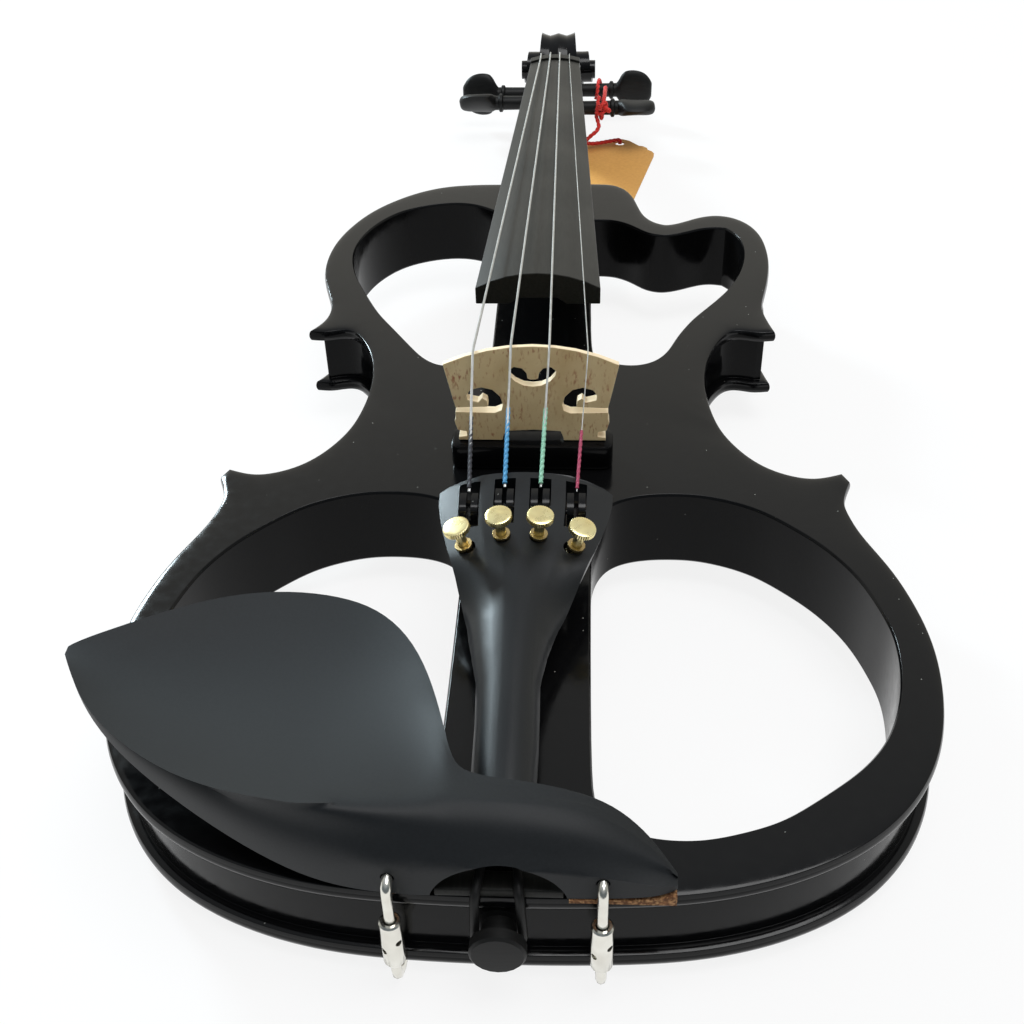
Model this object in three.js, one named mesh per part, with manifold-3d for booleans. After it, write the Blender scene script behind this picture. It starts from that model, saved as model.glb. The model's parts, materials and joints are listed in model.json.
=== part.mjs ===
// Electric violin with an open frame body, in millimetres.
// +X is the player's high string side, +Y runs from the tail to the scroll, +Z leaves the top plate.
// The origin lies on the back face, on the centre line, under the bridge.

import * as THREE from 'three'
import { mergeVertices } from 'three/addons/utils/BufferGeometryUtils.js'
import Module from 'manifold-3d'

const wasm = await Module()
wasm.setup()

// Shared sizes
const gap = 0.3
const overrun = 1
const weld = 1e-4
const shortEdge = 0.02
const full = 2 * Math.PI

// Body
const bodyLength = 360.5
const bridgeToTail = 160.5
const bodyThickness = 26
const lowerBoutHalf = 107
const upperBoutHalf = 86
const waistHalf = 56
const lowerCornerHalf = 96
const upperCornerHalf = 83
const lowerCornerShare = 0.4189
const upperCornerShare = 0.6602
const spineHalf = 18
const upperSpineLeft = 16.4
const plateEdge = 4.6
const plateRound = 1.5
const ribRecess = 2.8
const rimChamfer = 0.7

// Neck and head
const mortiseDepth = 12
const heelHalf = 15
const heelLength = 7
const nutY = 327.2
const nutLength = 5
const neckAndBoard = 20.5
const neckEase = 0.5
const pegboxWall = 4.6
const pegboxFloor = 4.6
const scrollY = 409
const scrollZ = -1.5
const scrollRadius = 20.5
const scrollWidth = 41
const scrollEyeRadius = 5
const fluteDepth = 1.3

// Fingerboard
const boardEndY = 60.6
const boardEndWidth = 41.8
const boardNutWidth = 24.4
const boardEdgeEndZ = 52.4
const boardEdgeNutZ = 31.7
const boardRadius = 42
const boardEndSide = 6
const boardNutSide = 4.4
const boardScoopDepth = 2.2
const boardScoopHalf = 11

// Bridge
const bridgeHeight = 32.2
const bridgeTopHalf = 25.9
const bridgeArchRadius = 58
const bridgeFootThickness = 4.6
const bridgeTopThickness = 1.5
const bridgePatternShift = 0.6

// Pickup under the bridge
const pickupHalf = 24.6
const pickupDepth = 11
const pickupHeight = 8.4
const pickupRound = 1
const pickupEndRound = 3
const piezoHalf = 20
const piezoWidth = 2.4
const piezoHeight = 2

// Strings, from low to high
const stringNames = ['g', 'd', 'a', 'e']
const stringSpreadAtBridge = 33.5
const stringSpreadAtNut = 14.1
const stringDiameters = { g: 0.82, d: 0.78, a: 0.7, e: 0.36 }
const nutRise = 0.9
const windingTurns = 3
const windingPitch = 1.4
const silkWall = 0.42
const silkShare = { g: 0.5, d: 0.52, a: 0.52, e: 0.4 }

// Pegs: distance along the head from the first one, side of the knob, and turn of the knob
const pegRadius = 3.7
const pegTipRadius = 3.2
const pegLineY = 342
const pegLineZ = 2.7
const pegLineSlope = -0.157
const pegPlaces = { e: 0, g: 12.6, d: 33.6, a: 42 }
const pegSides = { g: -1, d: -1, a: 1, e: 1 }
const pegCollarX = 28
const pegCollarRadius = 4.8
const pegCollarLength = 2.6
const pegWaistLength = 2.4
const pegKnobLength = 19.5
const pegKnobHalfWidth = 11.4
const pegKnobHalfDepth = 4.8
const pegKnobTurns = { g: 0.713, d: 0.02, a: 0.03, e: 0.44 }
const pegHoleClearance = 0.06

// Tailpiece and fine tuners
const tailpieceLength = 111
const tailpieceToSaddle = 10.9
const tailpieceFrontHalf = 23.9
const tailpieceFrontZ = 50
const tailpieceBackZ = 36
const tailpieceLean = -1.7
const tailpieceArchRadius = 62
const tailpieceShell = 3
const tailpieceBlockLength = 17.7
const tailpieceSkirt = 8
const tunerCentre = -0.8
const tunerSpread = 29.3
const tunerSlotWidth = 5.8
const tunerSlotLength = 17
const tunerSlotInset = 2.2
const leverWidth = 5
const leverThickness = 2
const leverForkGap = 1.3
const leverPivotInset = 5.7
const leverPivotDepth = 5
const leverHookRise = 0.2
const leverPinRadius = 0.9
const leverPinReach = 1.6
const screwInset = 23.5
const screwOuterInset = 2.6
const screwStemRadius = 1.35
const screwHeadRadius = 3.6
const screwHeadThickness = 1.6
const screwRise = 6.6
const screwTipReach = 2
const screwKnurls = 16
const knurlDepth = 0.26
const bushingRadius = 2
const bushingLip = 0.4
const bushingClearance = 0.06

// Tailgut, end button and saddle
const buttonX = -2
const buttonZ = 15.5
const buttonHeadRadius = 6.4
const buttonHeadLength = 3.4
const buttonNeckRadius = 4
const buttonNeckLength = 4.4
const buttonCollarRadius = 5.4
const buttonCollarLength = 2
const buttonShankRadius = 3.8
const buttonShankLength = 20
const gutRadius = 1.1
const gutHalfAtTailpiece = 3.4
const saddleHalf = 14
const saddleDepth = 6
const saddleHeight = 2.2

// Chinrest
const chinrestLength = 143
const chinrestRightX = 36.4
const chinrestLipZ = 50.5
const chinrestHoldZ = 28.2
const chinrestOuterY = -161.5
const chinrestCupWidth = 72
const chinrestWall = 3.6
const chinrestCove = 3.2
const chinrestFootLip = 2
const archHalf = 15.1
const archTopZ = 38.3
const archX = -1.75
const corkThickness = 1.6
const corkLeft = 26
const corkRight = 23
const corkDepth = 13
const corkRise = 2
const corkEndShare = 0.1
const clampLeftX = -25.3
const clampRightX = 20.6
const barrelRadius = 2.55
const barrelLength = 15.6
const barrelTopZ = 22.4
const barrelHoleRadius = 0.85
const barrelChamfer = 0.8
const rodRadius = 1.25
const rodInBarrel = 5
const hookInZ = 33.6
const hookReach = 5
const footReach = 11
const footCorkThickness = 1.4
const footCorkWidth = 7

// Electronics in the back
const bayCentreX = 0
const bayHalfX = 47
const bayFromY = 7
const bayLength = 44
const bayDepth = 20
const panelLip = 4
const panelThickness = 2
const doorMargin = 1
const doorSpareX = 4
const doorSpareY = 1
const batteryInset = 1.5
const batteryLength = 48.5
const batteryWidth = 26.5
const batteryHeight = 17.2
const doorClearance = 0.4
const boardThickness = 1.6
const chipHeight = 1.6
const boardMargin = 1.2
const powerChip = { length: 8, width: 6 }
const audioChip = { length: 4, width: 9 }
const wheelRadius = 8
const wheelThickness = 4
const wheelProud = 1.4
const wheelTeeth = 24
const wheelNotch = 0.5
const wheelSpacing = 21
const wheelAxleRadius = 1.5
const wheelAxleReach = 2
const wheelMargin = 4
const controlRaise = 0.6
const switchTravel = 3
const switchSetBack = 3
const switchLength = 6
const switchWidth = 3.4
const switchProud = 1.2
const jackWellLength = 17
const jackWellDepth = 13.3
const jackWellWall = 1.4
const wellSetBack = 5
const wellMargin = 1
const outputJackMargin = 2
const headphoneJackMargin = 2.5
const outputJackRadius = 5.4
const outputJackBore = 3.25
const outputJackLength = 22
const headphoneJackRadius = 3.6
const headphoneJackBore = 1.8
const headphoneJackLength = 14
const jackNutThickness = 2
const jackBushingWall = 1

// Hang tag
const tagHalf = 20.5
const tagLength = 75
const tagThickness = 0.8
const tagX = 35
const tagY = 353
const tagZ = -19
const tagTurn = -12
const tagHoleRadius = 2.6
const threadRadius = 0.9
const highLoop = { from: 7, to: 2, fromTurn: 0.6, turns: -1.2 }
const lowLoop = { from: 3, to: 7, fromTurn: 0.2, turns: 1.4 }

// Materials
function finish(color, roughness, metalness) {
  return new THREE.MeshStandardMaterial({ color, roughness, metalness })
}
const finishes = {
  lacquer: finish(0x070707, 0.12, 0),
  satinBlack: finish(0x1b1d1f, 0.5, 0),
  ebonyBlack: finish(0x242424, 0.6, 0),
  pegBlack: finish(0x0e0e0e, 0.6, 0),
  maple: finish(0xb79a72, 0.6, 0),
  gold: finish(0xc9a545, 0.25, 1),
  nickel: finish(0xc9c5bb, 0.25, 1),
  steel: finish(0xb9bcb8, 0.3, 1),
  cork: finish(0xa4693c, 0.9, 0),
  silkG: finish(0x20242c, 0.7, 0),
  silkD: finish(0x2f7fb5, 0.7, 0),
  silkA: finish(0x77bf9b, 0.7, 0),
  silkE: finish(0xa83255, 0.7, 0),
  plastic: finish(0x151515, 0.5, 0),
  circuit: finish(0x1c5a35, 0.5, 0),
  cell: finish(0x3a3d42, 0.4, 0.3),
  card: finish(0xc8954a, 0.8, 0),
  thread: finish(0xc2201c, 0.8, 0)
}

// Solids

function toSolid(geometry) {
  const bare = geometry.index ? geometry.toNonIndexed() : geometry.clone()
  bare.deleteAttribute('normal')
  bare.deleteAttribute('uv')
  const merged = mergeVertices(bare, weld)
  return new wasm.Manifold(new wasm.Mesh({
    numProp: 3,
    vertProperties: new Float32Array(merged.attributes.position.array),
    triVerts: new Uint32Array(merged.index.array)
  }))
}

function toGeometry(solid) {
  const mesh = solid.asOriginal().simplify(shortEdge).getMesh()
  const geometry = new THREE.BufferGeometry()
  geometry.setAttribute('position', new THREE.BufferAttribute(new Float32Array(mesh.vertProperties), 3))
  geometry.setIndex(new THREE.BufferAttribute(new Uint32Array(mesh.triVerts), 1))
  return geometry
}

function moved(geometry, x, y, z) {
  return geometry.clone().translate(x, y, z)
}

function vector(x, y, z) {
  return new THREE.Vector3(x, y, z)
}

function blend(from, to, share) {
  return from + (to - from) * share
}

// A prism of a flat outline from one height to another, with its edges rounded where asked.
function prism(points, low, high, round = 0) {
  const shape = new THREE.Shape(points)
  const geometry = new THREE.ExtrudeGeometry(shape, {
    depth: high - low - 2 * round,
    bevelEnabled: round > 0,
    bevelThickness: round,
    bevelSize: round,
    bevelOffset: -round,
    bevelSegments: 2
  })
  return geometry.translate(0, 0, low + round)
}

// Turns a prism's own Z into X, and its own X and Y into Y and Z.
function alongX(geometry) {
  return geometry.rotateX(Math.PI / 2).rotateZ(Math.PI / 2)
}

// Turns a prism's own Z into -Y, and its own X and Y into X and Z.
function alongY(geometry) {
  return geometry.rotateX(Math.PI / 2)
}

function block(fromX, toX, fromY, toY, fromZ, toZ) {
  const geometry = new THREE.BoxGeometry(toX - fromX, toY - fromY, toZ - fromZ)
  return geometry.translate((fromX + toX) / 2, (fromY + toY) / 2, (fromZ + toZ) / 2)
}

function rod(radius, length, sides = 24) {
  return new THREE.CylinderGeometry(radius, radius, length, sides)
}

// Skin over rings that all have the same number of points, closed by a fan at each end.
function loft(rings) {
  const count = rings[0].length
  const positions = rings.flat().flatMap((point) => [point.x, point.y, point.z])
  const faces = []
  for (let ring = 0; ring < rings.length - 1; ring++) {
    for (let i = 0; i < count; i++) {
      const next = (i + 1) % count
      const a = ring * count + i
      const b = ring * count + next
      faces.push(a, b, a + count, b, b + count, a + count)
    }
  }
  const addEnd = (ring, flip) => {
    const middle = rings[ring].reduce((sum, point) => sum.add(point), vector(0, 0, 0)).divideScalar(count)
    const centre = positions.length / 3
    positions.push(middle.x, middle.y, middle.z)
    for (let i = 0; i < count; i++) {
      const a = ring * count + i
      const b = ring * count + (i + 1) % count
      faces.push(...(flip ? [centre, b, a] : [centre, a, b]))
    }
  }
  addEnd(0, true)
  addEnd(rings.length - 1, false)
  const geometry = new THREE.BufferGeometry()
  geometry.setAttribute('position', new THREE.Float32BufferAttribute(positions, 3))
  geometry.setIndex(faces)
  return facedOut(geometry)
}

// Turns a closed skin's faces outward when its signed volume is negative.
function facedOut(geometry) {
  const place = geometry.attributes.position
  const index = geometry.index.array
  const corner = (i) => new THREE.Vector3().fromBufferAttribute(place, index[i])
  let volume = 0
  for (let i = 0; i < index.length; i += 3) {
    volume += corner(i).dot(corner(i + 1).cross(corner(i + 2)))
  }
  if (volume < 0) {
    for (let i = 0; i < index.length; i += 3) {
      const kept = index[i]
      index[i] = index[i + 1]
      index[i + 1] = kept
    }
  }
  return geometry
}

// A route whose tube has one ring at each of its own points.
class Route extends THREE.Curve {
  constructor(points) {
    super()
    this.points = points
  }

  getPoint(share, target = new THREE.Vector3()) {
    const place = share * (this.points.length - 1)
    const index = Math.min(Math.floor(place + weld), this.points.length - 2)
    return target.lerpVectors(this.points[index], this.points[index + 1], place - index)
  }

  getPointAt(share, target) {
    return this.getPoint(share, target)
  }

  getTangentAt(share, target = new THREE.Vector3()) {
    const last = this.points.length - 1
    const here = Math.round(share * last)
    const step = (from, to) => new THREE.Vector3().subVectors(this.points[to], this.points[from]).normalize()
    target.set(0, 0, 0)
    if (here > 0) target.add(step(here - 1, here))
    if (here < last) target.add(step(here, here + 1))
    return target.normalize()
  }
}

function tube(points, radius, sides) {
  const section = new THREE.Shape(circle(radius, sides))
  return new THREE.ExtrudeGeometry(section, {
    steps: points.length - 1,
    extrudePath: new Route(points),
    bevelEnabled: false
  })
}

function circle(radius, sides, x = 0, y = 0) {
  const points = []
  for (let i = 0; i < sides; i++) {
    const angle = full * i / sides
    points.push(new THREE.Vector2(x + radius * Math.cos(angle), y + radius * Math.sin(angle)))
  }
  return points
}

function flat(pairs) {
  return pairs.map(([x, y]) => new THREE.Vector2(x, y))
}

// A smooth line through chosen points, with a number of steps between each two.
function smooth(pairs, steps = 2) {
  const knots = pairs.map(([x, y]) => vector(x, y, 0))
  const curve = new THREE.CatmullRomCurve3(knots, false, 'centripetal')
  return curve.getPoints(steps * (pairs.length - 1)).map((point) => [point.x, point.y])
}

function mirrored(pairs) {
  return pairs.map(([x, y]) => [-x, y]).reverse()
}

// Draws an outline in by a distance and leaves out the points that folded over.
function inset(pairs, distance) {
  const count = pairs.length
  const drawn = pairs.map(([x, y], i) => {
    const [px, py] = pairs[(i + count - 1) % count]
    const [nx, ny] = pairs[(i + 1) % count]
    const before = new THREE.Vector2(x - px, y - py).normalize()
    const after = new THREE.Vector2(nx - x, ny - y).normalize()
    const normal = new THREE.Vector2(-before.y - after.y, before.x + after.x).normalize()
    const reach = distance / Math.max(normal.dot(new THREE.Vector2(-after.y, after.x)), 0.5)
    return [x + normal.x * reach, y + normal.y * reach]
  })
  return drawn.filter(([x, y]) => distanceTo(pairs, x, y) > distance * 0.93)
}

function distanceTo(pairs, x, y) {
  const point = new THREE.Vector3(x, y, 0)
  const line = new THREE.Line3()
  const near = new THREE.Vector3()
  let least = Infinity
  pairs.forEach(([fromX, fromY], i) => {
    const [toX, toY] = pairs[(i + 1) % pairs.length]
    line.start.set(fromX, fromY, 0)
    line.end.set(toX, toY, 0)
    line.closestPointToPoint(point, true, near)
    least = Math.min(least, near.distanceTo(point))
  })
  return least
}

const parts = new THREE.Group()

function addPart(name, shape, look) {
  const geometry = shape instanceof wasm.Manifold ? toGeometry(shape) : shape
  const mesh = new THREE.Mesh(geometry, finishes[look])
  mesh.name = name
  parts.add(mesh)
  return mesh
}

// Body outline: shares of the bout half widths across, and of the body length from the tail.
const bodyY = (share) => share * bodyLength - bridgeToTail
const bodyTopY = bodyY(1)
const lowerCornerY = bodyY(lowerCornerShare)
const upperCornerY = bodyY(upperCornerShare)

const lowerBoutShares = [
  [0, 0], [0.336, 0.004], [0.561, 0.019], [0.748, 0.047], [0.879, 0.086], [0.963, 0.136],
  [1, 0.201], [0.991, 0.254], [0.944, 0.312], [0.897, 0.345], [0.869, 0.379], [0.869, 0.395]
]
// From the waist line to the nearer corner across, and between the two corners along.
const lowerWaistShares = [
  [0.95, 0.052], [0.7, 0.017], [0.375, 0.086], [0.15, 0.236], [0.05, 0.374], [0, 0.592]
]
const upperWaistShares = [[0.055, 0.764], [0.185, 0.891], [0.37, 0.989], [0.52, 1.011], [0.78, 0.989]]
const rightShoulderShares = [
  [0.942, 0.684], [0.93, 0.711], [0.965, 0.75], [1, 0.8], [1, 0.85], [0.965, 0.885], [0.895, 0.908],
  [0.802, 0.917], [0.709, 0.911], [0.628, 0.899], [0.558, 0.893], [0.494, 0.903], [0.453, 0.922],
  [0.424, 0.956], [0.384, 0.983], [0.314, 0.998], [0.209, 1]
]
const leftShoulderShares = [
  [0.913, 0.681], [0.901, 0.706], [0.924, 0.731], [0.971, 0.77], [0.988, 0.806], [0.971, 0.853],
  [0.907, 0.9], [0.814, 0.939], [0.663, 0.975], [0.512, 0.994], [0.349, 0.9995], [0.198, 1]
]
const lowerOpeningShares = [
  [0.196, 0.065], [0.262, 0.051], [0.383, 0.047], [0.486, 0.054], [0.579, 0.065], [0.673, 0.085],
  [0.766, 0.108], [0.841, 0.137], [0.893, 0.182], [0.907, 0.229], [0.888, 0.262], [0.85, 0.298],
  [0.785, 0.331], [0.71, 0.356], [0.617, 0.38], [0.495, 0.395], [0.402, 0.398], [0.299, 0.395],
  [0.224, 0.384], [0.182, 0.362]
]
const lowerSpineShares = [0.09, 0.334]
const rightOpeningShares = [
  [0.25, 0.609], [0.314, 0.6006], [0.395, 0.599], [0.465, 0.6075], [0.517, 0.6255], [0.558, 0.6505],
  [0.628, 0.684], [0.715, 0.714], [0.802, 0.7475], [0.86, 0.781], [0.895, 0.8225], [0.884, 0.8585],
  [0.831, 0.881], [0.744, 0.883], [0.64, 0.871], [0.547, 0.864], [0.465, 0.871], [0.395, 0.889],
  [0.314, 0.9015]
]
const rightSpineShares = [0.622, 0.903]
const leftOpeningShares = [
  [0.25, 0.606], [0.314, 0.598], [0.395, 0.598], [0.465, 0.6115], [0.535, 0.6365], [0.605, 0.664],
  [0.686, 0.695], [0.756, 0.731], [0.837, 0.778], [0.872, 0.825], [0.849, 0.864], [0.791, 0.897],
  [0.698, 0.925], [0.57, 0.9415], [0.442, 0.947], [0.326, 0.94]
]
const leftSpineShares = [0.622, 0.914]

const inLowerBout = ([across, along]) => [across * lowerBoutHalf, bodyY(along)]
const inUpperBout = ([across, along]) => [across * upperBoutHalf, bodyY(along)]
const inWaist = (cornerHalf) => ([across, along]) => [
  blend(waistHalf, cornerHalf, across), blend(lowerCornerY, upperCornerY, along)
]

function bodyOutline() {
  const lowerCorner = [lowerCornerHalf, lowerCornerY]
  const upperCorner = [upperCornerHalf, upperCornerY]
  const lowerBout = smooth([...lowerBoutShares.map(inLowerBout), lowerCorner])
  const waist = smooth([
    ...lowerWaistShares.map(inWaist(lowerCornerHalf)), ...upperWaistShares.map(inWaist(upperCornerHalf))
  ])
  const rightShoulder = smooth([upperCorner, ...rightShoulderShares.map(inUpperBout)])
  const leftShoulder = smooth([upperCorner, ...leftShoulderShares.map(inUpperBout)])
  return [
    ...lowerBout, ...waist, ...rightShoulder, ...mirrored(leftShoulder),
    ...mirrored(waist), ...mirrored(lowerBout).slice(0, -1)
  ]
}

function openingOutlines() {
  const spine = (share, half = spineHalf) => [half, bodyY(share)]
  const lower = smooth([
    spine(lowerSpineShares[0]), ...lowerOpeningShares.map(inLowerBout), spine(lowerSpineShares[1])
  ])
  const right = smooth([
    spine(rightSpineShares[0]), ...rightOpeningShares.map(inUpperBout), spine(rightSpineShares[1])
  ])
  const left = smooth([
    spine(leftSpineShares[0], upperSpineLeft), ...leftOpeningShares.map(inUpperBout),
    spine(leftSpineShares[1], upperSpineLeft)
  ])
  return [lower, mirrored(lower), right, mirrored(left)]
}

// The cutter for one opening flares where it leaves each face, so that the rim is eased.
function openingCutter(outline) {
  const wide = inset(outline.slice().reverse(), rimChamfer).reverse()
  const through = toSolid(prism(flat(outline), -overrun, bodyThickness + overrun))
  if (wide.length !== outline.length) return through
  const ring = (pairs, z) => pairs.map(([x, y]) => vector(x, y, z))
  const flare = (inner, outer) => toSolid(loft([ring(outline, inner), ring(wide, outer)]))
  return through.add(flare(bodyThickness - rimChamfer, bodyThickness + gap)).add(flare(rimChamfer, -gap))
}

const heelMortiseHalf = heelHalf + gap
const bayFrom = { x: bayCentreX - bayHalfX, y: bayFromY }
const bayTo = { x: bayCentreX + bayHalfX, y: bayFromY + bayLength }
const panelFrom = { x: bayFrom.x - panelLip, y: bayFrom.y - panelLip }
const panelTo = { x: bayTo.x + panelLip, y: bayTo.y + panelLip }

function makeBody() {
  const outline = bodyOutline()
  const ribs = inset(outline, ribRecess)
  let body = toSolid(prism(flat(outline), 0, plateEdge, plateRound))
  body = body.add(toSolid(prism(flat(ribs), plateEdge / 2, bodyThickness - plateEdge / 2)))
  body = body.add(toSolid(prism(flat(outline), bodyThickness - plateEdge, bodyThickness, plateRound)))
  for (const opening of openingOutlines()) body = body.subtract(openingCutter(opening))
  const mortise = block(
    -heelMortiseHalf, heelMortiseHalf,
    bodyTopY - mortiseDepth, bodyTopY + overrun, -overrun, bodyThickness + overrun
  )
  const panelSeat = block(
    panelFrom.x - gap, panelTo.x + gap, panelFrom.y - gap, panelTo.y + gap, -overrun, panelThickness + gap
  )
  const bay = block(bayFrom.x, bayTo.x, bayFrom.y, bayTo.y, -overrun, bayDepth)
  const buttonHole = rod(buttonShankRadius + gap, buttonShankLength + ribRecess + overrun)
  const ribY = -bridgeToTail + ribRecess
  buttonHole.translate(buttonX, ribY + buttonShankLength / 2, buttonZ)
  for (const cut of [mortise, panelSeat, bay, buttonHole]) body = body.subtract(toSolid(cut))
  addPart('body_frame', body, 'lacquer')
}

// Fingerboard: its top edges fall in a straight line from the body end to the nut.
const boardShare = (y) => (y - boardEndY) / (nutY - boardEndY)
const boardHalf = (y) => blend(boardEndWidth, boardNutWidth, boardShare(y)) / 2
const boardEdgeZ = (y) => blend(boardEdgeEndZ, boardEdgeNutZ, boardShare(y))
const boardUnderZ = (y) => boardEdgeZ(y) - blend(boardEndSide, boardNutSide, boardShare(y))
const archDrop = (radius, x) => radius - Math.sqrt(radius * radius - x * x)
const boardTopZ = (y, x) => boardEdgeZ(y) + archDrop(boardRadius, boardHalf(y)) - archDrop(boardRadius, x)

function makeFingerboard() {
  const arcSteps = 8
  const section = (y) => {
    const half = boardHalf(y)
    const ring = [vector(-half, y, boardUnderZ(y)), vector(half, y, boardUnderZ(y))]
    for (let i = 0; i <= arcSteps; i++) {
      const x = half * (1 - 2 * i / arcSteps)
      ring.push(vector(x, y, boardTopZ(y, x)))
    }
    return ring
  }
  const board = toSolid(loft([section(boardEndY), section(nutY - gap)]))
  const scoopEndY = bodyTopY - heelHalf
  const scoop = (y, depth) => [
    vector(-boardScoopHalf, y, boardUnderZ(y) - overrun),
    vector(boardScoopHalf, y, boardUnderZ(y) - overrun),
    vector(boardScoopHalf * 0.6, y, boardUnderZ(y) + depth),
    vector(-boardScoopHalf * 0.6, y, boardUnderZ(y) + depth)
  ]
  const hollow = loft([scoop(boardEndY - overrun, boardScoopDepth), scoop(scoopEndY, boardScoopDepth / 4)])
  addPart('fingerboard', board.subtract(toSolid(hollow)), 'ebonyBlack')
}

function makeNut() {
  const halfWidth = boardHalf(nutY)
  const topZ = (x) => boardTopZ(nutY, x) + nutRise
  const points = [[-halfWidth, boardUnderZ(nutY)], [halfWidth, boardUnderZ(nutY)]]
  const arcSteps = 6
  for (let i = 0; i <= arcSteps; i++) {
    const x = halfWidth * (1 - 2 * i / arcSteps)
    points.push([x, topZ(x)])
  }
  const geometry = alongY(prism(flat(points), 0, nutLength))
  addPart('nut', geometry.translate(0, nutY + nutLength, 0), 'ebonyBlack')
}

// Neck, pegbox and scroll are carved from one piece.
// A section has a flat top and a round belly; fullness 2 is an ellipse and more is squarer.
function bellySection(y, half, topZ, bottomZ, fullness) {
  const steps = 12
  const ring = [vector(-half, y, topZ)]
  const depth = topZ - bottomZ
  for (let i = 0; i <= steps; i++) {
    const angle = Math.PI * i / steps
    const across = Math.sign(Math.cos(angle)) * Math.abs(Math.cos(angle)) ** (2 / fullness)
    const down = Math.sin(angle) ** (2 / fullness)
    ring.push(vector(-half * across, y, topZ - depth * Math.max(down, 0.06)))
  }
  ring.push(vector(half, y, topZ))
  return ring
}

// Share along the head from nut to scroll centre, front and back heights in shares of scroll radius
// above the scroll centre, and half width in shares of the fingerboard's half width at the nut.
const headShares = [
  [-0.14, 1.4, 0.78, 0.99, 2.4], [0.02, 1.46, 0.24, 1.02, 3], [0.1, 1.4, -0.2, 1.03, 4],
  [0.26, 1.2, -0.42, 1.01, 5], [0.5, 0.86, -0.56, 0.93, 5], [0.74, 0.56, -0.74, 0.82, 5],
  [0.9, 0.3, -0.92, 0.72, 5]
]

function headSection([along, front, back, half, fullness]) {
  const y = blend(nutY, scrollY, along)
  return { y, front: scrollZ + front * scrollRadius, back: scrollZ + back * scrollRadius,
    half: half * boardHalf(nutY), fullness }
}

function headAt(y) {
  const sections = headShares.map(headSection)
  const after = Math.max(sections.findIndex((section) => section.y > y), 1)
  const share = (y - sections[after - 1].y) / (sections[after].y - sections[after - 1].y)
  const mix = (key) => blend(sections[after - 1][key], sections[after][key], share)
  return { front: mix('front'), back: mix('back'), half: mix('half') }
}

function makeHeel() {
  const sections = []
  const rootY = bodyTopY - mortiseDepth + gap
  const heelEndY = bodyTopY + heelLength
  const gripY = bodyTopY + 4 * heelLength
  const headY = headSection(headShares[0]).y
  const under = (y) => boardUnderZ(y) - gap
  const gripBack = (y) => boardTopZ(y, 0) - neckAndBoard
  sections.push(bellySection(rootY, heelHalf, under(rootY), 0, 14))
  sections.push(bellySection(bodyTopY, heelHalf, under(bodyTopY), 0, 14))
  sections.push(bellySection(heelEndY, heelHalf, under(heelEndY), gripBack(heelEndY) * 0.16, 7))
  const turnShares = [[0.33, 0.5], [0.66, 0.82]]
  for (const [along, rise] of turnShares) {
    const y = blend(heelEndY, gripY, along)
    const half = blend(heelHalf, boardHalf(y) - neckEase, along)
    sections.push(bellySection(y, half, under(y), gripBack(y) * rise, 3))
  }
  for (const y of [gripY, headY]) {
    sections.push(bellySection(y, boardHalf(y) - neckEase, under(y), gripBack(y), 1.9))
  }
  return toSolid(loft(sections))
}

function makePegbox() {
  const first = headSection(headShares[0])
  const firstTop = boardUnderZ(first.y) - gap
  const firstHalf = boardHalf(first.y) - neckEase
  const rings = [bellySection(first.y - gap, firstHalf, firstTop, first.back, first.fullness)]
  for (const section of headShares.slice(1).map(headSection)) {
    const top = Math.min(section.front, boardUnderZ(section.y) - gap)
    rings.push(bellySection(section.y, section.half, top, section.back, section.fullness))
  }
  return toSolid(loft(rings))
}

// Reach and half width of the volute at each quarter turn, in shares of the scroll radius and of
// half the scroll width. It starts under the eye and winds out over the front.
const voluteReachShares = [1, 0.98, 0.95, 0.76, 0.61, 0.51, 0.46, 0.39, 0.32]
const voluteHalfShares = [0.37, 0.4, 0.45, 0.54, 0.66, 0.76, 0.82, 0.88, 0.94]
const voluteQuarterSteps = 5
const volutePieceQuarters = 4

function voluteShare(shares, quarter) {
  const index = Math.min(Math.floor(quarter + weld), shares.length - 2)
  return blend(shares[index], shares[index + 1], quarter - index)
}

function volutePiece(fromQuarter, toQuarter) {
  const steps = (toQuarter - fromQuarter) * voluteQuarterSteps
  const rings = []
  for (let i = 0; i <= steps; i++) {
    const quarter = fromQuarter + i / voluteQuarterSteps
    const angle = full / 4 * (quarter - 1) - (i === steps ? weld : 0)
    const reach = scrollRadius * voluteShare(voluteReachShares, quarter)
    const half = scrollWidth / 2 * voluteShare(voluteHalfShares, quarter)
    const flute = quarter <= volutePieceQuarters ? fluteDepth : 0
    const hub = 2 * gap
    const profile = [
      [-half, hub], [-half, reach], [-half / 2, reach - flute], [0, reach], [half / 2, reach - flute],
      [half, reach], [half, hub]
    ]
    rings.push(profile.map(([x, r]) => vector(
      x, scrollY + r * Math.cos(angle), scrollZ + r * Math.sin(angle)
    )))
  }
  return toSolid(loft(rings))
}

function makeScroll() {
  const lastQuarter = voluteReachShares.length - 1
  const eye = rod(scrollEyeRadius, scrollWidth, 16).rotateZ(Math.PI / 2).translate(0, scrollY, scrollZ)
  let scroll = toSolid(eye)
  for (let quarter = 0; quarter < lastQuarter; quarter += volutePieceQuarters) {
    scroll = scroll.add(volutePiece(quarter, quarter + volutePieceQuarters))
  }
  return scroll
}

const pegY = (name) => pegLineY + pegPlaces[name]
const pegZ = (name) => pegLineZ + pegPlaces[name] * pegLineSlope

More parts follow.
